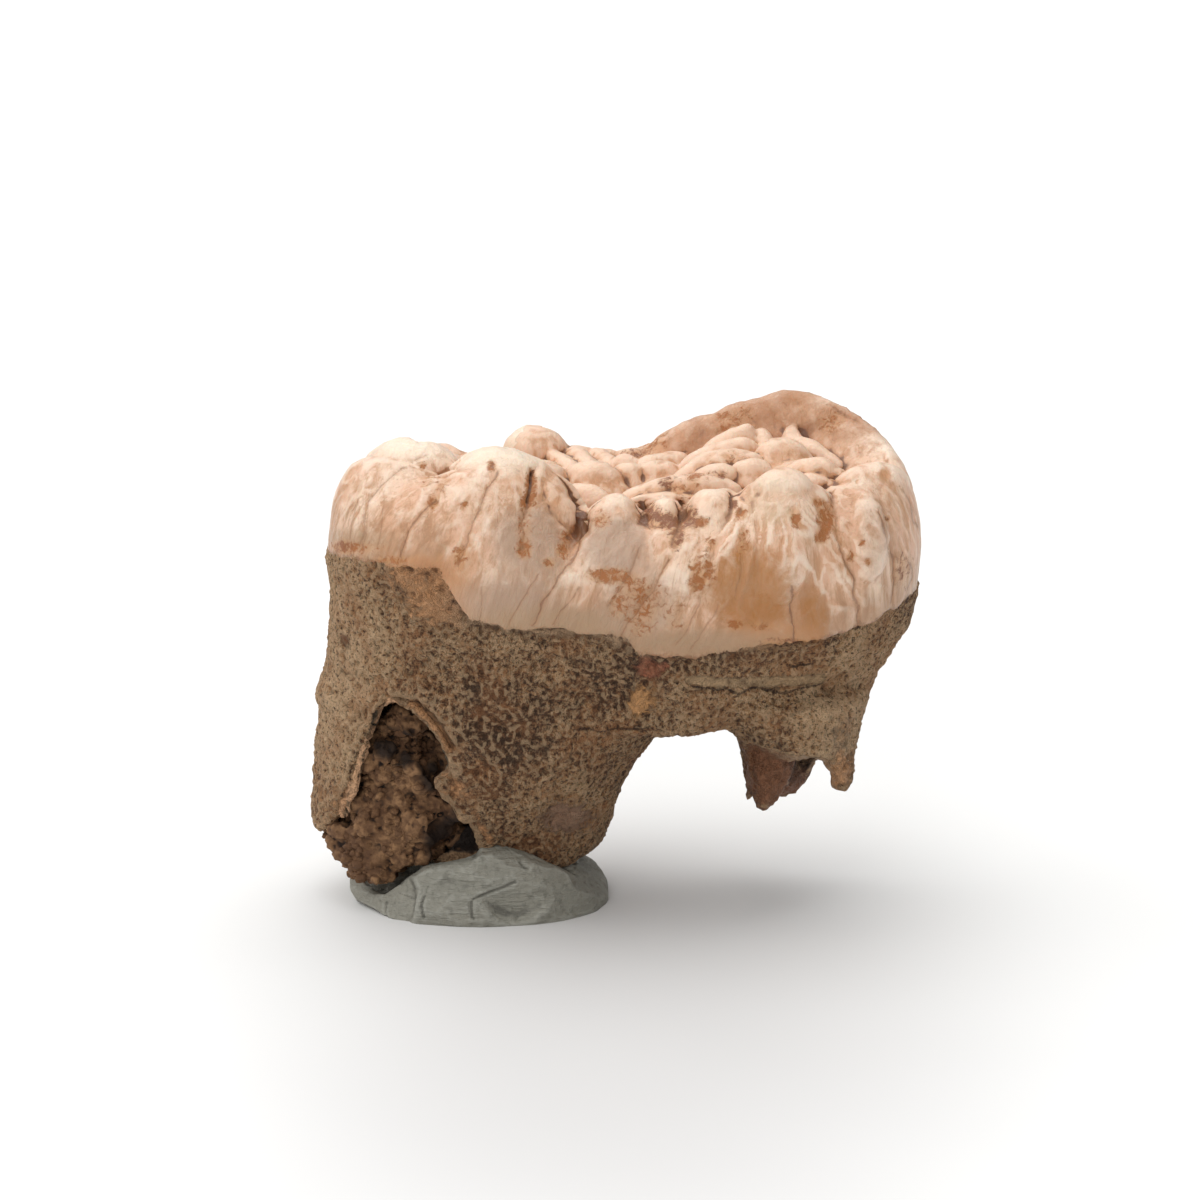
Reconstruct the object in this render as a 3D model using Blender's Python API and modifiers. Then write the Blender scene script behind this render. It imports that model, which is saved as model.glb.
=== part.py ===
"""Fossil cave bear molar that stands in a lump of putty, at its real size, in metres with Z up.

The origin is under the middle of the whole, on the flat underside of the putty. X runs along the crown, from
its two high lobes to its basin end. Y runs across it, away from the side with the window in the left root.
"""

import math

import bmesh
import bpy
import numpy as np
from mathutils import Matrix, Vector, noise

# Sizes that drive the whole, in metres.
GAP = 0.00034
SOCKET_GAP = 0.00052
FUSE_GRID = 0.00027
PUTTY_GRID = 0.0003
MOLAR_FACES = 6600
SEDIMENT_FACES = 1500
PUTTY_FACES = 800
ENAMEL_LEDGE = 0.00022
CROWN_MIDDLE = (0.0005, -0.0002)
CROWN_ROUNDNESS = 2.5
CROWN_ROUNDNESS_CHANGE = 0.35
ROOT_ROUNDNESS = 2.3
WAIST_DEPTH = 0.07
WAIST_X = -0.0012
WAIST_WIDTH = 0.0034
BASIN_TILT = 0.14

# Level hoops round the neck and the crown's wall: height, middle x, middle y, half length, half depth.
CROWN_WALL = (
    (0.0096, -0.0012, 0.0002, 0.0132, 0.0060),
    (0.0106, -0.0012, 0.0002, 0.0139, 0.0068),
    (0.0123, -0.0005, 0.0001, 0.0142, 0.0074),
    (0.0140, 0.0001, 0.0000, 0.0145, 0.0079),
    (0.0157, 0.0004, -0.0001, 0.0147, 0.0085),
    (0.0183, 0.0005, -0.0002, 0.01485, 0.0090),
)

# Height of the crown's crest by turn in degrees, from the basin end (+X) by way of the far side (+Y).
CREST_HEIGHTS = (
    (0, 0.0219), (6, 0.0225), (12, 0.0232), (18, 0.0239), (24, 0.0247), (30, 0.0251), (35, 0.0251), (40, 0.0247),
    (47, 0.0243), (54, 0.0240), (60, 0.0236), (66, 0.0232), (72, 0.0228), (79, 0.0223), (88, 0.0219),
    (101, 0.0219), (113, 0.0219), (128, 0.0222), (139, 0.0219), (150, 0.0216), (165, 0.0218), (180, 0.0222),
    (191, 0.0233), (198, 0.0235), (206, 0.0226), (214, 0.0233), (222, 0.0236), (229, 0.0232), (236, 0.0223),
    (243, 0.0212), (250, 0.0204), (258, 0.0208), (266, 0.0213), (276, 0.0211), (288, 0.0213), (297, 0.0211),
    (307, 0.0217), (318, 0.0220), (326, 0.0219), (334, 0.0218), (343, 0.0222), (352, 0.0226),
)

# How far in from the wall the crest stands, as a share of the way to the crown's middle, by turn.
CREST_INSETS = (
    (0, 0.10), (15, 0.13), (35, 0.22), (60, 0.32), (90, 0.36), (150, 0.28), (180, 0.17), (210, 0.27),
    (240, 0.33), (270, 0.34), (300, 0.32), (330, 0.22), (348, 0.13),
)

# Height of the line where enamel meets root, by turn in degrees.
ENAMEL_LINE = (
    (0, 0.0165), (30, 0.0172), (60, 0.0168), (80, 0.0158), (100, 0.0160), (125, 0.0172), (155, 0.0182),
    (180, 0.0183), (205, 0.0189), (222, 0.0188), (226, 0.0162), (235, 0.0159), (260, 0.0156), (270, 0.0153),
    (275, 0.0144), (292, 0.0143), (305, 0.0147), (318, 0.0149), (328, 0.0149), (340, 0.0156), (350, 0.0162),
)

# Height of the basin's floor along its middle by x. Across it the floor rises to the far side by BASIN_TILT.
BASIN_FLOOR = (
    (-0.0140, 0.0214), (-0.0100, 0.0209), (-0.0050, 0.0206), (-0.0020, 0.0203), (0.0020, 0.0204),
    (0.0060, 0.0209), (0.0110, 0.0209), (0.0160, 0.0214),
)

# Cusps of the crown's edge: a start, an end and a radius each. Those of one row are one egg-shaped lump.
RIM_CUSPS = (
    ((-0.0107, -0.0018, 0.0219), (-0.0096, -0.0024, 0.0219), 0.0022),
    ((-0.0064, -0.0044, 0.0218), (-0.0050, -0.0044, 0.0219), 0.0022),
    ((-0.0044, -0.0044, 0.0213), (-0.0031, -0.0050, 0.0204), 0.0020),
    ((-0.0043, 0.0050, 0.0218), (-0.0039, 0.0050, 0.0218), 0.0015),
    ((-0.0098, 0.0042, 0.0207), (-0.0080, 0.0046, 0.0207), 0.0018),
    ((0.0001, -0.0059, 0.0207), (-0.0004, -0.0074, 0.0186), 0.00142),
    ((0.0024, -0.0060, 0.0210), (0.0018, -0.0074, 0.0188), 0.0011),
    ((0.0048, -0.0060, 0.0213), (0.0042, -0.0074, 0.0190), 0.0013),
    ((0.0055, -0.0059, 0.0212), (0.0058, -0.0070, 0.0196), 0.0012),
    ((0.0083, -0.0056, 0.0213), (0.0080, -0.0072, 0.0188), 0.0019),
    ((0.0070, -0.0056, 0.0214), (0.0097, -0.0054, 0.0213), 0.0013),
    ((0.0079, -0.0057, 0.0221), (0.0085, -0.0057, 0.0221), 0.0012),
    ((0.0121, -0.0042, 0.0207), (0.0122, -0.0054, 0.0190), 0.0014),
    ((0.0118, -0.0028, 0.0215), (0.0136, -0.0017, 0.0217), 0.0012),
    ((-0.0023, 0.0052, 0.0214), (-0.0017, 0.0052, 0.0214), 0.0009),
    ((-0.0009, 0.0053, 0.0213), (-0.0003, 0.0053, 0.0213), 0.0008),
    ((0.0006, 0.0053, 0.0213), (0.0012, 0.0053, 0.0213), 0.0008),
)

# Knobs and folds on the basin's floor, in the same form.
BASIN_FOLDS = (
    ((-0.0014, -0.0002, 0.0213), (-0.0007, -0.0004, 0.0212), 0.0013),
    ((-0.0019, -0.0023, 0.0213), (-0.0008, -0.0027, 0.0211), 0.0006),
    ((0.0005, 0.0002, 0.0217), (0.0008, 0.0002, 0.0217), 0.0007),
    ((0.0017, 0.0004, 0.0216), (0.0025, 0.0005, 0.0217), 0.00085),
    ((-0.0022, 0.0046, 0.0219), (-0.0013, 0.0022, 0.0216), 0.0006),
    ((-0.0009, 0.0048, 0.0218), (-0.0001, 0.0024, 0.0215), 0.0006),
    ((-0.0030, 0.0036, 0.0219), (-0.0020, 0.0014, 0.0213), 0.0006),
    ((0.0004, 0.0025, 0.0219), (0.0006, 0.0023, 0.0219), 0.0005),
    ((0.0014, 0.0020, 0.0215), (0.0032, 0.0035, 0.0218), 0.0007),
    ((0.0007, -0.0035, 0.0213), (0.0028, -0.0033, 0.0218), 0.0006),
    ((0.0026, -0.0033, 0.0218), (0.0056, -0.0033, 0.0217), 0.0007),
    ((0.0009, -0.0044, 0.0212), (0.0034, -0.0043, 0.0214), 0.0005),
    ((0.0034, -0.0014, 0.0214), (0.0049, -0.0009, 0.0222), 0.00085),
    ((0.0046, -0.0008, 0.0222), (0.0066, -0.0005, 0.0223), 0.0010),
    ((0.0046, -0.0021, 0.0219), (0.0055, -0.0020, 0.0220), 0.0008),
    ((0.0066, -0.0017, 0.0222), (0.0070, -0.0017, 0.0222), 0.0008),
    ((0.0039, 0.0008, 0.0221), (0.0066, 0.0014, 0.0229), 0.0007),
    ((0.0046, 0.0026, 0.0223), (0.0066, 0.0027, 0.0235), 0.0005),
    ((0.0075, 0.0031, 0.0234), (0.0077, 0.0017, 0.0226), 0.0004),
    ((0.0090, 0.0032, 0.0234), (0.0092, 0.0019, 0.0228), 0.0004),
    ((0.0082, 0.0004, 0.0225), (0.0087, 0.0003, 0.0225), 0.00115),
    ((0.0094, 0.0022, 0.0229), (0.0114, 0.0010, 0.0217), 0.0006),
    ((0.0079, -0.0011, 0.0221), (0.0090, -0.0010, 0.0223), 0.00045),
    ((0.0090, -0.0020, 0.0221), (0.0102, -0.0020, 0.0225), 0.00075),
    ((0.0102, -0.0020, 0.0224), (0.0112, -0.0020, 0.0218), 0.00065),
    ((0.0088, -0.0030, 0.0219), (0.0106, -0.0031, 0.0218), 0.0006),
    ((-0.0040, -0.0012, 0.0216), (-0.0032, -0.0004, 0.0216), 0.0009),
    ((-0.0044, 0.0016, 0.0214), (-0.0034, 0.0022, 0.0214), 0.0008),
    ((-0.0068, 0.0004, 0.0217), (-0.0056, 0.0010, 0.0216), 0.0010),
    ((-0.0098, 0.0012, 0.0217), (-0.0084, 0.0014, 0.0217), 0.0010),
    ((-0.0080, 0.0030, 0.0214), (-0.0066, 0.0034, 0.0214), 0.0008),
)

# Grooves in the walls: their route in x and z, their half width and depth. The near ones are on the side with
# the window, the far ones on the other.
NEAR_GROOVES = (
    (((-0.0017, 0.0210), (-0.0031, 0.0183), (-0.0042, 0.0162)), 0.0009, 0.00050),
    (((-0.0060, 0.0236), (-0.0070, 0.0212), (-0.0081, 0.0190)), 0.0006, 0.00028),
    (((-0.0091, 0.0240), (-0.0112, 0.0232), (-0.0126, 0.0212), (-0.0130, 0.0190)), 0.0006, 0.00028),
    (((0.0035, 0.0217), (0.0028, 0.0200), (0.0012, 0.0176), (-0.0008, 0.0160)), 0.0006, 0.00022),
    (((0.0014, 0.0213), (0.0008, 0.0196)), 0.0005, 0.00025),
    (((0.0059, 0.0218), (0.0056, 0.0200)), 0.0005, 0.00025),
    (((0.0112, 0.0212), (0.0122, 0.0190), (0.0124, 0.0165)), 0.0006, 0.00022),
    (((0.0037, 0.0127), (0.0066, 0.0125), (0.0105, 0.0126)), 0.0005, 0.00030),
)
FAR_GROOVES = (
    (((0.0008, 0.0218), (0.0002, 0.0195), (-0.0004, 0.0165)), 0.0011, 0.00050),
    (((-0.0068, 0.0222), (-0.0072, 0.0195)), 0.0008, 0.00035),
    (((0.0040, 0.0232), (0.0046, 0.0200), (0.0044, 0.0175)), 0.0007, 0.00022),
    (((0.0108, 0.0238), (0.0112, 0.0205), (0.0106, 0.0180)), 0.0007, 0.00022),
    (((-0.0062, 0.0150), (-0.0066, 0.0100), (-0.0070, 0.0030)), 0.0022, 0.00080),
)

# Level hoops of the two roots, tip first: height, middle x, middle y, half length, half depth.
LEFT_ROOT = (
    (0.0016, -0.0052, 0.0002, 0.0026, 0.0024),
    (0.0024, -0.0061, 0.0002, 0.0049, 0.0036),
    (0.0036, -0.0078, 0.0003, 0.0074, 0.0046),
    (0.0051, -0.0077, 0.0003, 0.0077, 0.0056),
    (0.0073, -0.0070, 0.0003, 0.0081, 0.0065),
    (0.0098, -0.0060, 0.0002, 0.0090, 0.0070),
    (0.0120, -0.0056, 0.0001, 0.0092, 0.0073),
    (0.0150, -0.0050, 0.0000, 0.0085, 0.0070),
)
RIGHT_ROOT = (
    (0.0028, 0.0090, 0.0006, 0.0018, 0.0034),
    (0.0042, 0.0092, 0.0004, 0.0024, 0.0042),
    (0.0065, 0.0094, 0.0001, 0.0027, 0.0049),
    (0.0085, 0.0093, -0.0001, 0.00295, 0.0056),
    (0.0100, 0.0087, -0.0001, 0.0039, 0.0062),
    (0.0120, 0.0080, 0.0000, 0.0052, 0.0068),
)

# Level hoops of the hollow in the right root.
STUB_HOLLOW = (
    (0.0010, 0.0102, 0.0002, 0.0011, 0.0034),
    (0.0050, 0.0100, 0.0002, 0.0013, 0.0038),
    (0.0080, 0.0098, 0.0000, 0.0016, 0.0042),
    (0.0110, 0.0094, 0.0000, 0.0018, 0.0042),
    (0.0135, 0.0090, 0.0000, 0.0012, 0.0034),
)

# Level hoops of the cave earth in the left root, lowest crumb first.
SEDIMENT = (
    (0.0010, -0.0117, -0.0018, 0.0007, 0.0010),
    (0.0020, -0.0120, -0.0014, 0.0020, 0.0024),
    (0.0033, -0.0113, -0.0009, 0.0032, 0.0036),
    (0.0050, -0.0105, -0.0007, 0.0035, 0.0043),
    (0.0070, -0.0103, -0.0006, 0.0031, 0.0045),
    (0.0090, -0.0104, -0.0006, 0.0023, 0.0044),
    (0.0108, -0.0106, -0.0008, 0.0012, 0.0036),
    (0.0116, -0.0107, -0.0010, 0.0005, 0.0026),
)
SEDIMENT_LUMPS = (
    ((-0.0138, -0.0014, 0.0036), (-0.0132, -0.0016, 0.0034), 0.0010),
    ((-0.0128, -0.0030, 0.0022), (-0.0118, -0.0032, 0.0020), 0.0009),
    ((-0.0106, -0.0042, 0.0048), (-0.0094, -0.0040, 0.0046), 0.0010),
    ((-0.0124, -0.0036, 0.0050), (-0.0116, -0.0040, 0.0052), 0.0009),
    ((-0.0104, -0.0046, 0.0072), (-0.0098, -0.0046, 0.0070), 0.0008),
    ((-0.0112, -0.0044, 0.0092), (-0.0106, -0.0044, 0.0092), 0.0007),
)

# Outline in x and z of the window broken through the near wall of the left root.
WINDOW = (
    (-0.0120, 0.0118), (-0.0110, 0.0122), (-0.0100, 0.0118), (-0.0089, 0.0106), (-0.0081, 0.0093),
    (-0.0077, 0.0083), (-0.0072, 0.0063), (-0.0063, 0.0043), (-0.0057, 0.0026), (-0.0053, 0.0000),
    (-0.0170, 0.0000), (-0.0172, 0.0034), (-0.0154, 0.0034), (-0.0147, 0.0040), (-0.0139, 0.0052),
    (-0.0131, 0.0080),
)
WINDOW_FRONT = -0.0085
WINDOW_BACK = -0.0030
WINDOW_NARROWING = 0.78

# Height of the roots' broken lower edges by turn in degrees round each root's middle. Nothing is missing
# where the height is under 0.
LEFT_ROOT_EDGE = (
    (0, -0.0005), (45, -0.0005), (62, 0.0022), (75, 0.0031), (88, 0.0024), (104, 0.0036), (118, 0.0033),
    (131, 0.0044), (146, 0.0037), (160, 0.0046), (172, 0.0038), (183, 0.0036), (196, 0.0037), (207, 0.0048),
    (219, 0.0052), (230, 0.0030), (240, -0.0005), (300, -0.0005),
)
STUB_EDGE = (
    (0, 0.0080), (15, 0.0084), (28, 0.0072), (40, 0.0066), (52, 0.0072), (64, 0.0058), (74, 0.0061),
    (82, 0.0050), (90, 0.0036), (104, 0.0034), (118, 0.0045), (130, 0.0041), (150, 0.0050), (168, 0.0046),
    (182, 0.0049), (198, 0.0056), (212, 0.0064), (220, 0.0082), (232, 0.0089), (245, 0.0091), (265, 0.0089),
    (278, 0.0088), (285, 0.0086), (293, 0.0078), (300, 0.0070), (308, 0.0062), (314, 0.0061), (320, 0.0070),
    (330, 0.0078), (345, 0.0078),
)
BELOW_ALL = -0.0010
LEFT_ROOT_MIDDLE = (-0.0077, 0.0003)
LEFT_ROOT_REACH = (0.0095, 0.0085)
STUB_MIDDLE = (0.0094, 0.0000)
STUB_REACH = (0.0043, 0.0085)
STUB_MIDDLE_HEIGHT = 0.0062

# What still stands in the broken places: the rounded lobe beside the right root's hollow, and the outline in
# x and z of the flake at the window's right edge.
STUB_LOBE = ((0.0077, -0.0015, 0.0058), (0.0086, -0.0014, 0.0102), 0.00108)
FLAKE = ((-0.0079, 0.0086), (-0.0089, 0.0073), (-0.0076, 0.0053), (-0.0068, 0.0054), (-0.0070, 0.0084))
FLAKE_FRONT = -0.0058
FLAKE_BACK = -0.0053

# Level hoops of the putty, from below its flat underside to its top.
PUTTY = (
    (-0.0010, -0.0068, -0.0004, 0.0062, 0.0055),
    (0.0000, -0.0068, -0.0004, 0.0065, 0.0059),
    (0.0008, -0.00695, -0.0004, 0.0064, 0.0060),
    (0.0014, -0.0070, -0.0004, 0.0057, 0.0058),
    (0.0020, -0.0066, -0.0005, 0.0045, 0.0052),
    (0.0028, -0.0062, -0.0005, 0.0028, 0.0044),
)
PUTTY_LUMPS = (
    ((-0.0126, -0.0022, 0.0008), (-0.0122, -0.0004, 0.0008), 0.0009),
    ((-0.0108, -0.0042, 0.0008), (-0.0082, -0.0044, 0.0024), 0.0011),
    ((-0.0076, -0.0044, 0.0023), (-0.0044, -0.0045, 0.0022), 0.0015),
    ((-0.0044, -0.0044, 0.0020), (-0.0026, -0.0036, 0.0010), 0.0012),
    ((-0.0036, 0.0024, 0.0010), (-0.0064, 0.0042, 0.0018), 0.0013),
    ((-0.0080, 0.0042, 0.0020), (-0.0112, 0.0026, 0.0016), 0.0013),
)

# Roughness of the surfaces: layers with a size and a height each.
ROOT_RELIEF = ((0.0034, 0.00030), (0.0013, 0.00013))
SEDIMENT_RELIEF = ((0.0014, 0.00040), (0.0007, 0.00020))
PUTTY_RELIEF = ((0.0028, 0.00022), (0.0012, 0.00012))

# Shares of the way from a form's bottom to its top: a rounded end, and the crown's bottom, wall and crest.
CAP_SHARE = 0.12
BOTTOM_SHARE = 0.04
WALL_SHARE = 0.5
ARC_SHARE = 0.72
# Share of the way from the crest to the basin's middle at which the floor is reached.
BASIN_DROP_SHARE = 0.38
# Rings and segments of the forms and of the egg-shaped lumps.
RINGS_ROUND = 96
RINGS_UP = 56
EGG_ROUND = 24
EGG_UP = 16
RELAX_FACTOR = 0.5
SIDE_LIMIT = 0.1


def clear_scene():
    for obj in list(bpy.data.objects):
        bpy.data.objects.remove(obj, do_unlink=True)


def new_collection(name):
    collection = bpy.data.collections.new(name)
    bpy.context.scene.collection.children.link(collection)
    return collection


def new_material(name, colour, roughness):
    material = bpy.data.materials.new(name)
    material.use_nodes = True
    shader = material.node_tree.nodes["Principled BSDF"]
    shader.inputs["Base Color"].default_value = (*colour, 1.0)
    shader.inputs["Roughness"].default_value = roughness
    shader.inputs["Metallic"].default_value = 0.0
    return material


def smooth_row(rows, share):
    """The row at a share from 0 to 1 of the way through a table, on a smooth curve through its rows."""
    rows = np.array(rows)
    place = share * (len(rows) - 1)
    first = min(int(place), len(rows) - 2)
    t = place - first
    before = rows[max(first - 1, 0)]
    a = rows[first]
    b = rows[first + 1]
    after = rows[min(first + 2, len(rows) - 1)]
    bend = 2 * before - 5 * a + 4 * b - after + t * (3 * (a - b) + after - before)
    return a + 0.5 * t * (b - before + t * bend)


def round_table(table, degrees):
    """Value of a table of (turn in degrees, value) at a turn, or at an array of turns."""
    turns = [row[0] for row in table]
    values = [row[1] for row in table]
    return np.interp(degrees, turns, values, period=360)


def hoop_radius(turn, half_length, half_depth, roundness):
    """Distance from a hoop's middle to its edge at a turn: an oval, squarer as roundness grows."""
    along = abs(math.cos(turn) / half_length) ** roundness
    across = abs(math.sin(turn) / half_depth) ** roundness
    return (along + across) ** (-1 / roundness)


def cap_share(level, rounding):
    """Share of a hoop's radius near the two ends of a form, where it closes in a rounded cap."""
    near_end = min(level, 1 - level, rounding) / rounding
    return math.sqrt(max(0.0, 1 - (1 - near_end) ** 2))


def ringed_form(place):
    """A closed form: a ball whose level rings are moved to place(turn, level), with level 0 at the bottom."""
    form = bmesh.new()
    bmesh.ops.create_uvsphere(form, u_segments=RINGS_ROUND, v_segments=RINGS_UP, radius=1.0)
    for vert in form.verts:
        turn = math.atan2(vert.co.y, vert.co.x)
        level = 1 - math.acos(max(-1.0, min(1.0, vert.co.z))) / math.pi
        vert.co = place(turn, level)
    return form


def hooped_form(rows, roundness, grow=0.0):
    """A closed form through a table of hoops, grown on every side by `grow`."""

    def place(turn, level):
        height, x, y, half_length, half_depth = smooth_row(rows, level)
        radius = hoop_radius(turn, half_length + grow, half_depth + grow, roundness)
        radius *= cap_share(level, CAP_SHARE)
        height += grow * (2 * level - 1)
        return Vector((x + radius * math.cos(turn), y + radius * math.sin(turn), height))

    return ringed_form(place)


def crown_place(turn, level):
    """Point of the crown: up its wall, round over its crest, and down into its basin."""
    top = CROWN_WALL[-1]
    wall = smooth_row(CROWN_WALL, min(level / WALL_SHARE, 1.0))
    height, x, y, half_length, half_depth = wall
    roundness = CROWN_ROUNDNESS - CROWN_ROUNDNESS_CHANGE * math.cos(turn)
    radius = hoop_radius(turn, half_length, half_depth, roundness)
    crest = round_table(CREST_HEIGHTS, math.degrees(turn))
    inset = round_table(CREST_INSETS, math.degrees(turn))
    if level <= WALL_SHARE:
        radius *= min(1.0, level / BOTTOM_SHARE)
    elif level <= ARC_SHARE:
        arc = (level - WALL_SHARE) / (ARC_SHARE - WALL_SHARE) * math.pi / 2
        radius *= 1 - inset * (1 - math.cos(arc))
        height = top[0] + (crest - top[0]) * math.sin(arc)
    else:
        inward = (level - ARC_SHARE) / (1 - ARC_SHARE)
        radius *= (1 - inset) * (1 - inward)
        drop = min(inward / BASIN_DROP_SHARE, 1.0)
        floor = np.interp(x + radius * math.cos(turn), *zip(*BASIN_FLOOR))
        floor += BASIN_TILT * radius * math.sin(turn)
        height = crest + (floor - crest) * drop * drop * (3 - 2 * drop)
    across = radius * math.sin(turn)
    along = radius * math.cos(turn)
    pinch = WAIST_DEPTH * math.exp(-(((x + along - WAIST_X) / WAIST_WIDTH) ** 2))
    return Vector((x + along, y + across * (1 - pinch), height))


def egg(start, end, radius, grow=0.0):
    """An egg-shaped lump whose long axis runs from start to end."""
    start = Vector(start)
    end = Vector(end)
    along = end - start
    half_length = along.length / 2 + radius + grow
    form = bmesh.new()
    bmesh.ops.create_uvsphere(form, u_segments=EGG_ROUND, v_segments=EGG_UP, radius=1.0)
    turned = along.to_track_quat("X", "Z").to_matrix().to_4x4()
    sized = Matrix.Diagonal((half_length, radius + grow, radius + grow, 1.0))
    bmesh.ops.transform(form, matrix=Matrix.Translation((start + end) / 2) @ turned @ sized, verts=form.verts)
    return form


def slab(outline, front, back, narrowing=1.0):
    """An outline in x and z drawn out along Y, smaller at the back by the narrowing."""
    form = bmesh.new()
    verts = [form.verts.new((x, front, z)) for x, z in outline]
    face = form.faces.new(verts)
    made = bmesh.ops.extrude_face_region(form, geom=[face])["geom"]
    moved = [item for item in made if isinstance(item, bmesh.types.BMVert)]
    bmesh.ops.translate(form, vec=(0.0, back - front, 0.0), verts=moved)
    middle = Vector([sum(v.co[i] for v in moved) / len(moved) for i in range(3)])
    shrink = Matrix.Translation(middle) @ Matrix.Diagonal((narrowing, 1.0, narrowing, 1.0))
    bmesh.ops.transform(form, matrix=shrink @ Matrix.Translation(-middle), verts=moved)
    bmesh.ops.recalc_face_normals(form, faces=form.faces)
    return form


def broken_edge_form(middle, reach, edge, middle_height):
    """What is missing under a root's broken edge, whose height goes by turn round the root's middle."""

    def place(turn, level):
        share = np.interp(level, (0.0, 0.1, 0.3, 1.0), (0.0, 1.0, 1.0, 0.0))
        rise = np.interp(level, (0.1, 0.3), (0.0, 1.0))
        inward = np.interp(level, (0.55, 0.95), (0.0, 1.0))
        top = round_table(edge, math.degrees(turn))
        top += inward * (middle_height - top)
        radius = share * hoop_radius(turn, *reach, ROOT_ROUNDNESS)
        height = BELOW_ALL + rise * (top - BELOW_ALL)
        x = middle[0] + radius * math.cos(turn)
        y = middle[1] + radius * math.sin(turn)
        return Vector((x, y, height))

    return ringed_form(place)


def join_forms(name, forms, collection):
    """One object that holds all the forms, still overlapping."""
    mesh = bpy.data.meshes.new(name)
    whole = bmesh.new()
    for form in forms:
        piece = bpy.data.meshes.new("piece")
        form.to_mesh(piece)
        form.free()
        whole.from_mesh(piece)
        bpy.data.meshes.remove(piece)
    whole.to_mesh(mesh)
    whole.free()
    obj = bpy.data.objects.new(name, mesh)
    collection.objects.link(obj)
    return obj


def settle(obj):
    """Turns the object's modifiers into its mesh."""
    graph = bpy.context.evaluated_depsgraph_get()
    mesh = bpy.data.meshes.new_from_object(obj.evaluated_get(graph))
    obj.modifiers.clear()
    old = obj.data
    obj.data = mesh
    bpy.data.meshes.remove(old)


def fuse(obj, grid):
    """Makes one skin round everything in the object."""
    remesh = obj.modifiers.new("fuse", "REMESH")
    remesh.mode = "VOXEL"
    remesh.voxel_size = grid
    settle(obj)


def relax(obj, rounds):
    smooth = obj.modifiers.new("relax", "SMOOTH")
    smooth.factor = RELAX_FACTOR
    smooth.iterations = rounds
    settle(obj)


def thin_out(obj, faces):
    """Leaves about this many triangles, most of them where the form bends most."""
    obj.data.calc_loop_triangles()
    thin = obj.modifiers.new("thin_out", "DECIMATE")
    thin.ratio = faces / len(obj.data.loop_triangles)
    thin.use_collapse_triangulate = True
    settle(obj)


def carve(obj, cutter):
    cut = obj.modifiers.new("carve", "BOOLEAN")
    cut.operation = "DIFFERENCE"
    cut.solver = "EXACT"
    cut.object = cutter
    settle(obj)


def new_cutter(name, forms, collection, grid):
    """A hidden tool shape with one skin."""
    obj = join_forms(name, forms, collection)
    if grid:
        fuse(obj, grid)
    obj.hide_render = True
    obj.display_type = "WIRE"
    return obj


def read_points(obj):
    points = np.empty(len(obj.data.vertices) * 3)
    obj.data.vertices.foreach_get("co", points)
    normals = np.empty(len(obj.data.vertices) * 3)
    obj.data.vertex_normals.foreach_get("vector", normals)
    return points.reshape(-1, 3), normals.reshape(-1, 3)


def write_points(obj, points):
    obj.data.vertices.foreach_set("co", points.ravel())
    obj.data.update()


def lumpiness(points, relief):
    """Height of a rough surface at each point: layers of noise, each with a size and a height."""
    height = np.zeros(len(points))
    for size, depth in relief:
        for i, point in enumerate(points):
            height[i] += depth * noise.noise(Vector(point) / size)
    return height


def roughen(obj, relief, share=None):
    points, normals = read_points(obj)
    height = lumpiness(points, relief)
    if share is not None:
        height = height * share(points)
    write_points(obj, points + normals * height[:, None])


def above_enamel_line(points):
    """1 on the enamel and 0 on the root, by height over the line where they meet."""
    turns = np.degrees(np.arctan2(points[:, 1] - CROWN_MIDDLE[1], points[:, 0] - CROWN_MIDDLE[0]))
    line = round_table(ENAMEL_LINE, turns)
    return np.clip((points[:, 2] - line) / (2 * FUSE_GRID) + 0.5, 0.0, 1.0)


def groove_depth(points, normals, side, route, half_width, depth):
    """How far a groove along the route, seen along Y, sinks each point of the near (-1) or far (+1) side."""
    nearest = np.full(len(points), np.inf)
    flat = points[:, [0, 2]]
    for start, end in zip(route[:-1], route[1:]):
        start = np.array(start)
        along = np.array(end) - start
        t = np.clip((flat - start) @ along / (along @ along), 0.0, 1.0)
        nearest = np.minimum(nearest, np.linalg.norm(flat - start - t[:, None] * along, axis=1))
    share = np.clip(1 - (nearest / half_width) ** 2, 0.0, 1.0) ** 2
    return depth * share * (normals[:, 1] * side > SIDE_LIMIT) * (points[:, 1] * side > 0)


def make_molar(parts):
    forms = [ringed_form(crown_place)]
    forms += [hooped_form(LEFT_ROOT, ROOT_ROUNDNESS), hooped_form(RIGHT_ROOT, ROOT_ROUNDNESS)]
    forms += [egg(*row) for row in RIM_CUSPS + BASIN_FOLDS]
    molar = join_forms("molar", forms, parts)
    fuse(molar, FUSE_GRID)
    relax(molar, 2)
    points, normals = read_points(molar)
    shift = ENAMEL_LEDGE * above_enamel_line(points)
    for side, grooves in ((-1, NEAR_GROOVES), (1, FAR_GROOVES)):
        for route, half_width, depth in grooves:
            shift -= groove_depth(points, normals, side, route, half_width, depth)
    write_points(molar, points + normals * shift[:, None])
    roughen(molar, ROOT_RELIEF, lambda at: 1 - above_enamel_line(at))
    return molar


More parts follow.
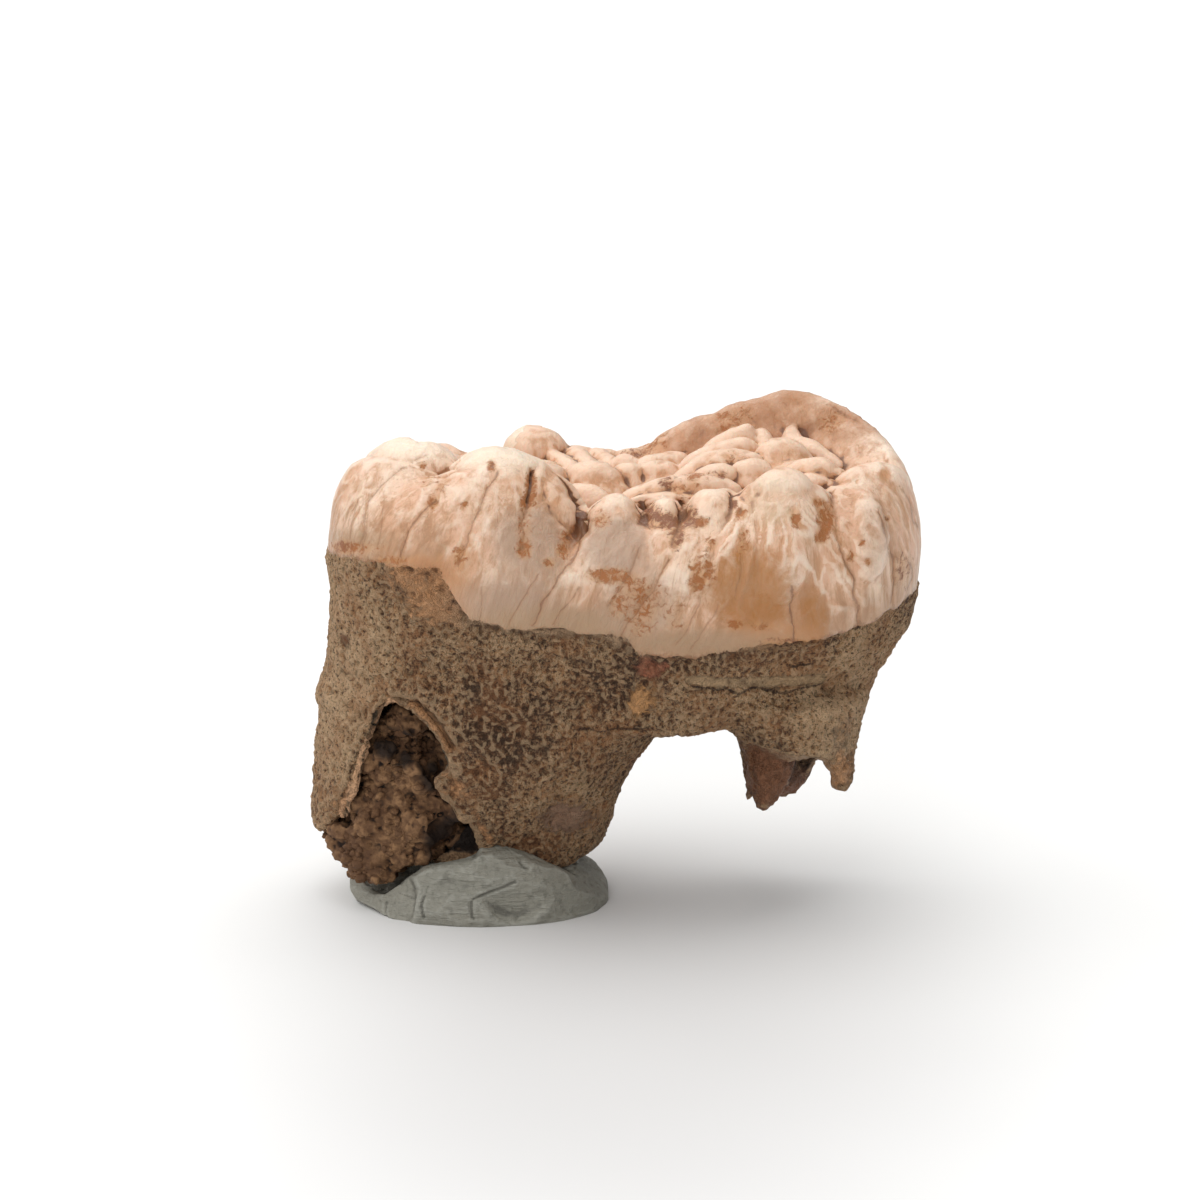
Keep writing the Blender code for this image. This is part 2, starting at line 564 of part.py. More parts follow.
def break_molar(molar, cutters):
    """Breaks the window and the hollows out of the roots."""
    window = slab(WINDOW, WINDOW_FRONT, WINDOW_BACK, WINDOW_NARROWING)
    carve(molar, new_cutter("window_cutter", [window], cutters, None))
    hollow = sediment_forms(GAP)
    carve(molar, new_cutter("left_hollow_cutter", hollow, cutters, FUSE_GRID))
    missing = broken_edge_form(LEFT_ROOT_MIDDLE, LEFT_ROOT_REACH, LEFT_ROOT_EDGE, BELOW_ALL / 2)
    carve(molar, new_cutter("left_edge_cutter", [missing], cutters, FUSE_GRID))
    missing = broken_edge_form(STUB_MIDDLE, STUB_REACH, STUB_EDGE, STUB_MIDDLE_HEIGHT)
    carve(molar, new_cutter("stub_edge_cutter", [missing], cutters, FUSE_GRID))
    hollow = hooped_form(STUB_HOLLOW, ROOT_ROUNDNESS)
    carve(molar, new_cutter("stub_hollow_cutter", [hollow], cutters, None))


def sediment_forms(grow=0.0):
    forms = [hooped_form(SEDIMENT, ROOT_ROUNDNESS, grow)]
    forms += [egg(*row, grow) for row in SEDIMENT_LUMPS]
    return forms


def add_forms(obj, forms):
    """Adds forms to the object's mesh, still overlapping it."""
    added = join_forms("added", forms, bpy.context.scene.collection)
    whole = bmesh.new()
    whole.from_mesh(obj.data)
    whole.from_mesh(added.data)
    whole.to_mesh(obj.data)
    whole.free()
    bpy.data.objects.remove(added, do_unlink=True)


def make_sediment(parts):
    """The cave earth, whose roughness only sinks into it, so that its gap to the root stays clear."""
    sediment = join_forms("sediment_fill", sediment_forms(), parts)
    fuse(sediment, FUSE_GRID)
    points, normals = read_points(sediment)
    sunk = np.abs(lumpiness(points, SEDIMENT_RELIEF))
    write_points(sediment, points - normals * sunk[:, None])
    thin_out(sediment, SEDIMENT_FACES)
    return sediment


def make_putty(parts, cutters):
    forms = [hooped_form(PUTTY, ROOT_ROUNDNESS)]
    forms += [egg(*row) for row in PUTTY_LUMPS]
    putty = join_forms("putty_mount", forms, parts)
    fuse(putty, PUTTY_GRID)
    roughen(putty, PUTTY_RELIEF)
    socket = [hooped_form(LEFT_ROOT, ROOT_ROUNDNESS, SOCKET_GAP)] + sediment_forms(GAP)
    carve(putty, new_cutter("socket_cutter", socket, cutters, FUSE_GRID))
    thin_out(putty, PUTTY_FACES)
    flatten_underside(putty)
    return putty


def flatten_underside(obj):
    """Cuts the object off flat at height 0 and closes the cut."""
    form = bmesh.new()
    form.from_mesh(obj.data)
    geometry = form.verts[:] + form.edges[:] + form.faces[:]
    bmesh.ops.bisect_plane(form, geom=geometry, plane_co=(0, 0, 0), plane_no=(0, 0, -1), clear_outer=True)
    rim = [edge for edge in form.edges if edge.is_boundary]
    bmesh.ops.contextual_create(form, geom=rim)
    form.to_mesh(obj.data)
    form.free()


def finish(obj, material):
    obj.data.materials.clear()
    obj.data.materials.append(material)
    obj.data.shade_smooth()


def main():
    clear_scene()
    parts = new_collection("fossil_cave_bear_molar")
    cutters = new_collection("cutters")
    molar = make_molar(parts)
    break_molar(molar, cutters)
    add_forms(molar, [egg(*STUB_LOBE), slab(FLAKE, FLAKE_FRONT, FLAKE_BACK)])
    fuse(molar, FUSE_GRID)
    thin_out(molar, MOLAR_FACES)
    sediment = make_sediment(parts)
    putty = make_putty(parts, cutters)
    finish(molar, new_material("fossil_tooth", (0.62, 0.42, 0.27), 0.45))
    finish(sediment, new_material("cave_earth", (0.16, 0.10, 0.055), 0.9))
    finish(putty, new_material("grey_green_putty", (0.30, 0.31, 0.26), 0.6))


main()
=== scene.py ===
"""Looks of the fossil cave bear molar: the tooth, its cave earth, its putty, and the floor, light and camera.

Sizes are in metres. X runs along the crown to its basin end, Y away from the side with the window in the left
root, and Z up. The origin is under the middle of the whole, on the flat underside of the putty.
"""

import math
import random

import bmesh
import bpy
import numpy as np
from bpy.props import FloatProperty, FloatVectorProperty, IntProperty, PointerProperty
from mathutils import Matrix, Vector, noise


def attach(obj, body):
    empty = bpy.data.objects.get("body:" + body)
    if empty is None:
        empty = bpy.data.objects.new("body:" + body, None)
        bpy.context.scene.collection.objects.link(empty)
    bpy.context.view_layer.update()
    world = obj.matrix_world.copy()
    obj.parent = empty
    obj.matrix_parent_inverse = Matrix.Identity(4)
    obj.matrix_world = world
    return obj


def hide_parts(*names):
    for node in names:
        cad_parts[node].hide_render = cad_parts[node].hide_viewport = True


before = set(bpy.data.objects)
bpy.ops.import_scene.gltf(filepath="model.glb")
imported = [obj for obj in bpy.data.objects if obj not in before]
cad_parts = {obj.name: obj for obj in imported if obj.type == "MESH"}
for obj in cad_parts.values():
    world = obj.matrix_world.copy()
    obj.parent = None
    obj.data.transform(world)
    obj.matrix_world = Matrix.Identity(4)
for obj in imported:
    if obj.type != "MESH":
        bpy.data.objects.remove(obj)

bl_info = {
    "name": "Fossil Cave Bear Molar",
    "version": (1, 0, 0),
    "blender": (4, 5, 0),
    "location": "View3D > Sidebar > Molar",
    "description": "Dresses the packed molar with enamel, root, cave earth and putty",
    "category": "Add Mesh",
}

# The front view: marks seen on the near side are placed by their pixel in its 1200 x 1200 frame.
VIEW_PIXELS = 1200
VIEW_TARGET = Vector((-0.00076, 0.0, 0.0154))
VIEW_DISTANCE = 0.2538
VIEW_ELEVATION = math.radians(13.0)
VIEW_LENS = 150.0
VIEW_SENSOR = 36.0

CROWN_MIDDLE = (0.0005, -0.0002)
CROWN_ROUNDNESS = 2.5
CROWN_ROUNDNESS_CHANGE = 0.35
ROOT_ROUNDNESS = 2.3
WAIST_DEPTH = 0.07
WAIST_X = -0.0012
WAIST_WIDTH = 0.0034
BASIN_TILT = 0.14

# Level hoops round the neck and the crown's wall: height, middle x, middle y, half length, half depth.
CROWN_WALL = (
    (0.0096, -0.0012, 0.0002, 0.0132, 0.0060),
    (0.0106, -0.0012, 0.0002, 0.0139, 0.0068),
    (0.0123, -0.0005, 0.0001, 0.0142, 0.0074),
    (0.0140, 0.0001, 0.0000, 0.0145, 0.0079),
    (0.0157, 0.0004, -0.0001, 0.0147, 0.0085),
    (0.0183, 0.0005, -0.0002, 0.01485, 0.0090),
)

# Height of the crown's crest by turn in degrees, from the basin end (+X) by way of the far side (+Y).
CREST_HEIGHTS = (
    (0, 0.0222), (6, 0.0229), (12, 0.0236), (18, 0.0243), (24, 0.0249), (30, 0.0252), (35, 0.0251),
    (40, 0.0247), (47, 0.0243), (54, 0.0240), (60, 0.0236), (66, 0.0232), (72, 0.0228), (79, 0.0223),
    (88, 0.0219), (101, 0.0219), (113, 0.0219), (128, 0.0222), (139, 0.0219), (150, 0.0216), (165, 0.0218),
    (180, 0.0222), (191, 0.0233), (198, 0.0235), (206, 0.0226), (214, 0.0233), (222, 0.0236), (229, 0.0232),
    (236, 0.0223), (243, 0.0212), (250, 0.0204), (258, 0.0208), (266, 0.0213), (276, 0.0211), (288, 0.0213),
    (297, 0.0211), (307, 0.0217), (318, 0.0220), (326, 0.0219), (334, 0.0218), (343, 0.0222), (352, 0.0226),
)

# How far in from the wall the crest stands, as a share of the way to the crown's middle, by turn.
CREST_INSETS = (
    (0, 0.09), (15, 0.12), (35, 0.22), (60, 0.32), (90, 0.36), (150, 0.28), (178, 0.10), (192, 0.12),
    (210, 0.27), (240, 0.33), (270, 0.34), (300, 0.32), (330, 0.22), (348, 0.13),
)

# Height of the line where enamel meets root, by turn in degrees.
ENAMEL_LINE = (
    (0, 0.0165), (30, 0.0172), (60, 0.0168), (80, 0.0158), (100, 0.0160), (125, 0.0172), (155, 0.0182),
    (180, 0.0183), (205, 0.0189), (222, 0.0188), (226, 0.0162), (235, 0.0159), (260, 0.0156), (270, 0.0153),
    (275, 0.0144), (292, 0.0143), (305, 0.0147), (318, 0.0149), (328, 0.0149), (340, 0.0156), (350, 0.0162),
)

# Height of the basin's floor by x.
BASIN_FLOOR = (
    (-0.0140, 0.0214), (-0.0100, 0.0209), (-0.0050, 0.0206), (-0.0020, 0.0203), (0.0020, 0.0204),
    (0.0060, 0.0209), (0.0110, 0.0209), (0.0160, 0.0214),
)

# Cusps of the crown's edge: a start, an end and a radius each. Those of one row are one egg-shaped lump.
RIM_CUSPS = (
    ((-0.0107, -0.0018, 0.0219), (-0.0096, -0.0024, 0.0219), 0.0022),
    ((-0.0064, -0.0044, 0.0218), (-0.0050, -0.0044, 0.0219), 0.0022),
    ((-0.0044, -0.0044, 0.0213), (-0.0031, -0.0050, 0.0204), 0.0020),
    ((-0.0043, 0.0050, 0.0218), (-0.0039, 0.0050, 0.0218), 0.0015),
    ((-0.0098, 0.0042, 0.0207), (-0.0080, 0.0046, 0.0207), 0.0018),
    ((0.0000, -0.0058, 0.0205), (-0.0002, -0.0068, 0.0192), 0.0016),
    ((0.0024, -0.0060, 0.0209), (0.0022, -0.0067, 0.0200), 0.00105),
    ((0.0047, -0.0060, 0.0212), (0.0045, -0.0068, 0.0200), 0.0012),
    ((0.0055, -0.0059, 0.0212), (0.0058, -0.0070, 0.0196), 0.0012),
    ((0.0083, -0.0056, 0.0213), (0.0080, -0.0072, 0.0188), 0.0019),
    ((0.0070, -0.0056, 0.0214), (0.0097, -0.0054, 0.0213), 0.0013),
    ((0.0079, -0.0057, 0.0221), (0.0085, -0.0057, 0.0221), 0.0012),
    ((0.0121, -0.0042, 0.0207), (0.0122, -0.0054, 0.0190), 0.0014),
    ((0.0118, -0.0028, 0.0215), (0.0136, -0.0017, 0.0217), 0.0012),
    ((-0.0023, 0.0052, 0.0214), (-0.0017, 0.0052, 0.0214), 0.0009),
    ((-0.0009, 0.0053, 0.0213), (-0.0003, 0.0053, 0.0213), 0.0008),
    ((0.0006, 0.0053, 0.0213), (0.0012, 0.0053, 0.0213), 0.0008),
)

# Knobs and folds on the basin's floor, in the same form.
BASIN_FOLDS = (
    ((-0.0014, -0.0002, 0.0213), (-0.0007, -0.0004, 0.0212), 0.0013),
    ((-0.0019, -0.0023, 0.0213), (-0.0008, -0.0027, 0.0211), 0.0006),
    ((0.0005, 0.0002, 0.0217), (0.0008, 0.0002, 0.0217), 0.0007),
    ((0.0017, 0.0004, 0.0216), (0.0025, 0.0005, 0.0217), 0.00085),
    ((-0.0022, 0.0046, 0.0219), (-0.0013, 0.0022, 0.0216), 0.0006),
    ((-0.0009, 0.0048, 0.0218), (-0.0001, 0.0024, 0.0215), 0.0006),
    ((-0.0030, 0.0036, 0.0219), (-0.0020, 0.0014, 0.0213), 0.0006),
    ((0.0004, 0.0025, 0.0219), (0.0006, 0.0023, 0.0219), 0.0005),
    ((0.0014, 0.0020, 0.0215), (0.0032, 0.0035, 0.0218), 0.0007),
    ((0.0007, -0.0035, 0.0213), (0.0028, -0.0033, 0.0218), 0.0006),
    ((0.0026, -0.0033, 0.0218), (0.0056, -0.0033, 0.0217), 0.0007),
    ((0.0009, -0.0044, 0.0212), (0.0034, -0.0043, 0.0214), 0.0005),
    ((0.0034, -0.0014, 0.0214), (0.0049, -0.0009, 0.0222), 0.00085),
    ((0.0046, -0.0008, 0.0222), (0.0066, -0.0005, 0.0223), 0.0010),
    ((0.0046, -0.0021, 0.0219), (0.0055, -0.0020, 0.0220), 0.0008),
    ((0.0066, -0.0017, 0.0222), (0.0070, -0.0017, 0.0222), 0.0008),
    ((0.0039, 0.0008, 0.0221), (0.0066, 0.0014, 0.0229), 0.0007),
    ((0.0046, 0.0026, 0.0223), (0.0066, 0.0027, 0.0235), 0.0005),
    ((0.0075, 0.0031, 0.0234), (0.0077, 0.0017, 0.0226), 0.0004),
    ((0.0090, 0.0032, 0.0234), (0.0092, 0.0019, 0.0228), 0.0004),
    ((0.0082, 0.0004, 0.0225), (0.0087, 0.0003, 0.0225), 0.00115),
    ((0.0094, 0.0022, 0.0229), (0.0114, 0.0010, 0.0217), 0.0006),
    ((0.0079, -0.0011, 0.0221), (0.0090, -0.0010, 0.0223), 0.00045),
    ((0.0090, -0.0020, 0.0221), (0.0102, -0.0020, 0.0225), 0.00075),
    ((0.0102, -0.0020, 0.0224), (0.0112, -0.0020, 0.0218), 0.00065),
    ((0.0088, -0.0030, 0.0219), (0.0106, -0.0031, 0.0218), 0.0006),
    ((-0.0040, -0.0012, 0.0216), (-0.0032, -0.0004, 0.0216), 0.0009),
    ((-0.0044, 0.0016, 0.0214), (-0.0034, 0.0022, 0.0214), 0.0008),
    ((-0.0068, 0.0004, 0.0217), (-0.0056, 0.0010, 0.0216), 0.0010),
    ((-0.0098, 0.0012, 0.0217), (-0.0084, 0.0014, 0.0217), 0.0010),
    ((-0.0080, 0.0030, 0.0214), (-0.0066, 0.0034, 0.0214), 0.0008),
)

# Level hoops of the two roots, tip first, and of the hollow in the right one.
LEFT_ROOT = (
    (0.0016, -0.0052, 0.0002, 0.0026, 0.0024),
    (0.0024, -0.0061, 0.0002, 0.0049, 0.0036),
    (0.0036, -0.0078, 0.0003, 0.0074, 0.0046),
    (0.0051, -0.0077, 0.0003, 0.0077, 0.0056),
    (0.0073, -0.0070, 0.0003, 0.0081, 0.0065),
    (0.0098, -0.0060, 0.0002, 0.0090, 0.0070),
    (0.0120, -0.0056, 0.0001, 0.0092, 0.0073),
    (0.0150, -0.0050, 0.0000, 0.0085, 0.0070),
)
RIGHT_ROOT = (
    (0.0028, 0.0090, 0.0006, 0.0018, 0.0034),
    (0.0042, 0.0092, 0.0004, 0.0024, 0.0042),
    (0.0065, 0.0094, 0.0001, 0.0027, 0.0049),
    (0.0085, 0.0093, -0.0001, 0.00295, 0.0056),
    (0.0100, 0.0087, -0.0001, 0.0039, 0.0062),
    (0.0120, 0.0080, 0.0000, 0.0052, 0.0068),
)
STUB_HOLLOW = (
    (0.0010, 0.0102, 0.0002, 0.0011, 0.0034),
    (0.0050, 0.0100, 0.0002, 0.0013, 0.0038),
    (0.0080, 0.0098, 0.0000, 0.0016, 0.0042),
    (0.0110, 0.0094, 0.0000, 0.0018, 0.0042),
    (0.0135, 0.0090, 0.0000, 0.0012, 0.0034),
)

# Level hoops and lumps of the cave earth in the left root, lowest crumb first.
SEDIMENT = (
    (0.0010, -0.0117, -0.0018, 0.0007, 0.0010),
    (0.0020, -0.0120, -0.0014, 0.0020, 0.0024),
    (0.0033, -0.0113, -0.0009, 0.0032, 0.0036),
    (0.0050, -0.0105, -0.0007, 0.0035, 0.0043),
    (0.0070, -0.0103, -0.0006, 0.0031, 0.0045),
    (0.0090, -0.0104, -0.0006, 0.0023, 0.0044),
    (0.0108, -0.0106, -0.0008, 0.0012, 0.0036),
    (0.0116, -0.0107, -0.0010, 0.0005, 0.0026),
)
SEDIMENT_LUMPS = (
    ((-0.0138, -0.0014, 0.0036), (-0.0132, -0.0016, 0.0034), 0.0010),
    ((-0.0128, -0.0030, 0.0022), (-0.0118, -0.0032, 0.0020), 0.0009),
    ((-0.0106, -0.0042, 0.0048), (-0.0094, -0.0040, 0.0046), 0.0010),
    ((-0.0124, -0.0036, 0.0050), (-0.0116, -0.0040, 0.0052), 0.0009),
    ((-0.0104, -0.0046, 0.0072), (-0.0098, -0.0046, 0.0070), 0.0008),
    ((-0.0112, -0.0044, 0.0092), (-0.0106, -0.0044, 0.0092), 0.0007),
)
SEDIMENT_GAP = 0.00020
CLODS = 160
EARTH_CORE_FACES = 40000
# How far the cave earth lies back from the window's edge.
EARTH_RECESS = 0.0007

# Hollows between the clods, in the same form as the lumps, carved out and painted black as shade.
EARTH_HOLLOWS = (
    ((-0.0116, -0.0046, 0.0092), (-0.0108, -0.0046, 0.0088), 0.00095),
    ((-0.0090, -0.0046, 0.0088), (-0.0086, -0.0046, 0.0074), 0.00110),
    ((-0.0082, -0.0044, 0.0038), (-0.0066, -0.0040, 0.0026), 0.00140),
    ((-0.0106, -0.0054, 0.0106), (-0.0102, -0.0054, 0.0104), 0.00060),
    ((-0.0126, -0.0048, 0.0064), (-0.0124, -0.0048, 0.0060), 0.00055),
    ((-0.0098, -0.0056, 0.0062), (-0.0096, -0.0056, 0.0060), 0.00045),
    ((-0.0084, -0.0050, 0.0060), (-0.0078, -0.0048, 0.0046), 0.00060),
    ((-0.0118, -0.0050, 0.0034), (-0.0112, -0.0050, 0.0032), 0.00040),
)

# Outline in x and z of the window broken through the near wall of the left root.
WINDOW = (
    (-0.0120, 0.0118), (-0.0110, 0.0122), (-0.0100, 0.0118), (-0.0089, 0.0106), (-0.0081, 0.0093),
    (-0.0077, 0.0083), (-0.0072, 0.0063), (-0.0063, 0.0043), (-0.0057, 0.0026), (-0.0053, 0.0000),
    (-0.0170, 0.0000), (-0.0172, 0.0034), (-0.0154, 0.0034), (-0.0147, 0.0040), (-0.0139, 0.0052),
    (-0.0131, 0.0080),
)
WINDOW_FRONT = -0.0085
WINDOW_BACK = -0.0030
WINDOW_NARROWING = 0.78

# Height of the roots' broken lower edges by turn in degrees round each root's middle. Nothing is missing
# where the height is under 0.
LEFT_ROOT_EDGE = (
    (0, -0.0005), (45, -0.0005), (62, 0.0022), (75, 0.0031), (88, 0.0024), (104, 0.0036), (118, 0.0033),
    (131, 0.0044), (146, 0.0037), (160, 0.0046), (172, 0.0038), (183, 0.0036), (196, 0.0037), (207, 0.0048),
    (219, 0.0052), (230, 0.0030), (240, -0.0005), (300, -0.0005),
)
STUB_EDGE = (
    (0, 0.0080), (15, 0.0084), (28, 0.0072), (40, 0.0066), (52, 0.0072), (64, 0.0058), (74, 0.0061),
    (82, 0.0050), (90, 0.0036), (104, 0.0034), (118, 0.0045), (130, 0.0041), (150, 0.0050), (168, 0.0046),
    (182, 0.0049), (198, 0.0056), (212, 0.0064), (220, 0.0082), (232, 0.0089), (245, 0.0091), (265, 0.0089),
    (278, 0.0088), (285, 0.0086), (293, 0.0078), (300, 0.0070), (308, 0.0062), (314, 0.0061), (320, 0.0070),
    (330, 0.0078), (345, 0.0078),
)
BELOW_ALL = -0.0010
LEFT_ROOT_MIDDLE = (-0.0077, 0.0003)
LEFT_ROOT_REACH = (0.0095, 0.0085)
STUB_MIDDLE = (0.0094, 0.0000)
STUB_REACH = (0.0043, 0.0085)
STUB_MIDDLE_HEIGHT = 0.0062

# What still stands in the broken places: the rounded lobe beside the right root's hollow, and the outline in
# x and z of the flake at the window's right edge.
STUB_LOBE = ((0.0077, -0.0015, 0.0058), (0.0086, -0.0014, 0.0102), 0.00108)
FLAKE = ((-0.0079, 0.0086), (-0.0089, 0.0073), (-0.0076, 0.0053), (-0.0068, 0.0054), (-0.0070, 0.0084))
FLAKE_FRONT = -0.0058
FLAKE_BACK = -0.0053

# Level hoops of the putty, from below its flat underside to its top, and its lumps.
PUTTY = (
    (-0.0010, -0.0068, -0.0004, 0.0062, 0.0055),
    (0.0000, -0.0068, -0.0004, 0.0065, 0.0059),
    (0.0008, -0.00695, -0.0004, 0.0064, 0.0060),
    (0.0014, -0.0070, -0.0004, 0.0057, 0.0058),
    (0.0020, -0.0066, -0.0005, 0.0045, 0.0052),
    (0.0028, -0.0062, -0.0005, 0.0028, 0.0044),
)
PUTTY_LUMPS = (
    ((-0.0129, -0.0022, 0.0010), (-0.0124, -0.0006, 0.0012), 0.0009),
    ((-0.0126, -0.0036, 0.0005), (-0.0112, -0.0046, 0.0006), 0.0008),
    ((-0.0108, -0.0042, 0.0008), (-0.0082, -0.0044, 0.0024), 0.0011),
    ((-0.0076, -0.0044, 0.0023), (-0.0044, -0.0045, 0.0022), 0.0015),
    ((-0.0044, -0.0044, 0.0020), (-0.0026, -0.0036, 0.0010), 0.0012),
    ((-0.0036, 0.0024, 0.0010), (-0.0064, 0.0042, 0.0018), 0.0013),
    ((-0.0080, 0.0042, 0.0020), (-0.0112, 0.0026, 0.0016), 0.0013),
)

# Soft grooves in the near side: their route in the front view, half width in pixels, and depth in metres at
# their two ends.
NEAR_GROOVES = (
    (((570, 474), (583, 500), (582, 525), (568, 556), (556, 580)), 13, 0.00095, 0.00003),
    (((497, 472), (491, 484), (470, 530), (453, 566)), 9, 0.00010, 0.00010),
    (((455, 444), (448, 470), (436, 500), (420, 545)), 22, 0.00035, 0.00004),
    (((426, 458), (397, 472), (371, 500), (361, 545)), 5, 0.00007, 0.00006),
    (((432, 505), (406, 532), (401, 556)), 4, 0.00006, 0.00007),
    (((641, 492), (644, 512), (650, 536)), 9, 0.00060, 0.00003),
    (((684, 494), (682, 518), (675, 540)), 7, 0.00070, 0.00006),
    (((668, 560), (645, 596), (622, 636)), 8, 0.00014, 0.00006),
    (((640, 556), (622, 588), (600, 620)), 9, 0.00012, 0.00006),
    (((712, 556), (696, 600), (678, 644)), 8, 0.00012, 0.00006),
    (((734, 484), (729, 510), (712, 548)), 9, 0.00050, 0.00004),
    (((828, 486), (838, 530), (853, 582), (858, 630)), 9, 0.00028, 0.00008),
    (((880, 486), (884, 520), (894, 560), (893, 600)), 7, 0.00012, 0.00008),
    (((534, 472), (531, 486), (527, 500)), 4.5, 0.00050, 0.00035),
    (((527, 500), (523, 525), (525, 553)), 9, 0.00022, 0.00018),
    (((687, 690), (740, 692), (822, 686)), 6, 0.00016, 0.00016),
)

# Grooves down the crown's far side: turn and half width in degrees, and depth at the top. They run out
# downwards.
FAR_GROOVES = (
    (52, 3.5, 0.00022), (78, 4.0, 0.00030), (97, 3.5, 0.00045), (112, 3.0, 0.00035), (126, 4.0, 0.00040),
    (146, 5.0, 0.00045), (168, 5.0, 0.00035), (186, 5.0, 0.00045), (20, 4.0, 0.00022), (2, 3.0, 0.00018),
)
FAR_GROOVE_HEIGHTS = (0.0158, 0.0215)

# Cracks in the near side: their route in the front view, half width in pixels and darkness from 0 to 1.
NEAR_CRACKS = (
    (((426, 458), (410, 464), (397, 472), (384, 484), (371, 500), (365, 520), (361, 545)), 1.1, 0.5),
    (((434, 503), (420, 517), (406, 532), (402, 545), (401, 556)), 1.2, 0.8),
    (((341, 497), (334, 510), (332, 524)), 1.0, 0.3),
    (((350, 505), (344, 520), (341, 540)), 1.0, 0.4),
    (((358, 500), (352, 522), (349, 545)), 1.0, 0.5),
    (((370, 515), (366, 530), (365, 548)), 1.0, 0.6),
    (((384, 509), (380, 525), (376, 546)), 0.9, 0.45),
    (((497, 475), (491, 484), (483, 502), (474, 522), (466, 545), (456, 566)), 1.3, 0.6),
    (((583, 520), (579, 545), (570, 562), (556, 582), (545, 600), (534, 623)), 1.5, 0.9),
    (((537, 575), (524, 595), (509, 624)), 1.1, 0.55),
    (((578, 588), (566, 604), (553, 623)), 1.1, 0.6),
    (((484, 590), (481, 606), (480, 622)), 0.9, 0.4),
    (((640, 548), (628, 578), (608, 606)), 1.2, 0.5),
    (((668, 560), (652, 590), (632, 622), (622, 636)), 1.3, 0.6),
    (((700, 596), (690, 622), (678, 646)), 1.1, 0.5),
    (((716, 604), (706, 626), (692, 650)), 1.0, 0.45),
    (((742, 555), (738, 580), (736, 600)), 0.9, 0.3),
    (((791, 584), (792, 600), (791, 620), (792, 642)), 1.5, 1.0),
    (((837, 541), (846, 560), (853, 582), (857, 604), (858, 628)), 1.3, 0.75),
    (((874, 508), (884, 530), (893, 556), (894, 580), (892, 602)), 1.4, 0.9),
    (((902, 490), (912, 508), (918, 525), (920, 534)), 1.0, 0.6),
    (((909, 562), (912, 577), (908, 588)), 1.2, 0.8),
    (((684, 504), (681, 520), (672, 545)), 2.0, 1.0),
    (((578, 727), (600, 729), (625, 727), (648, 728)), 0.9, 0.6),
    (((571, 741), (572, 750), (570, 760)), 1.0, 0.6),
    (
        ((690, 684), (712, 690), (724, 688), (738, 695), (750, 688), (770, 690), (786, 694), (800, 689),
         (822, 683)),
        1.0, 0.7,
    ),
    (((790, 664), (800, 663), (810, 663)), 1.2, 0.8),
)

# Pits in the near side: place in the front view, radius in pixels and depth in metres.
NEAR_PITS = (
    (733, 504, 3.5, 0.00010), (741, 513, 3.0, 0.00008), (796, 520, 4.0, 0.00010), (793, 513, 3.0, 0.00008),
    (820, 502, 3.0, 0.00006), (826, 522, 4.0, 0.00010), (821, 538, 3.5, 0.00008), (703, 523, 3.5, 0.00008),
    (711, 543, 3.0, 0.00008), (743, 540, 3.0, 0.00006), (695, 584, 3.0, 0.00008), (851, 556, 2.5, 0.00008),
    (887, 518, 2.5, 0.00012), (625, 602, 2.0, 0.00006), (647, 597, 2.5, 0.00006), (568, 537, 2.5, 0.00008),
    (563, 551, 3.0, 0.00008), (549, 563, 2.5, 0.00008), (433, 502, 3.0, 0.00008),
    (523, 550, 4.0, 0.00012), (492, 466, 3.0, 0.00008), (346, 645, 5.0, 0.00025), (466, 505, 2.0, 0.00006),
    (885, 474, 5.0, 0.00008), (602, 520, 3.0, 0.00005), (660, 518, 4.0, 0.00008), (800, 663, 6.0, 0.00020),
)


class MolarSizes(bpy.types.PropertyGroup):
    form_grid: FloatProperty(
        name="Form grid", description="Grid on which the tooth's main forms are fused", default=0.0002,
        min=0.0001, max=0.001, unit="LENGTH", precision=5,
    )
    fine_grid: FloatProperty(
        name="Fine grid", description="Grid on which the fine relief is laid", default=0.000115,
        min=0.00008, max=0.001, unit="LENGTH", precision=6,
    )
    faces: IntProperty(
        name="Faces", description="Triangles of the finished tooth", default=192000, min=20000, max=198000,
    )
    ledge: FloatProperty(
        name="Enamel ledge", description="Height of the enamel's edge over the root", default=0.0001,
        unit="LENGTH", precision=5,
    )
    earth_grid: FloatProperty(
        name="Earth grid", description="Grid on which the core and its clods are fused", default=0.000078,
        min=0.00007, max=0.001, unit="LENGTH", precision=5,
    )
    crumbs: IntProperty(
        name="Crumbs", description="Clods and crumbs on the cave earth", default=2400, min=0, max=4000,
    )
    putty_grid: FloatProperty(
        name="Putty grid", description="Grid on which the putty's lumps are fused", default=0.00011,
        min=0.00008, max=0.001, unit="LENGTH", precision=5,
    )


def colour_property(name, description, default):
    """A colour that the user can change."""
    return FloatVectorProperty(
        name=name, description=description, subtype="COLOR", size=3, min=0, max=1, default=default,
    )


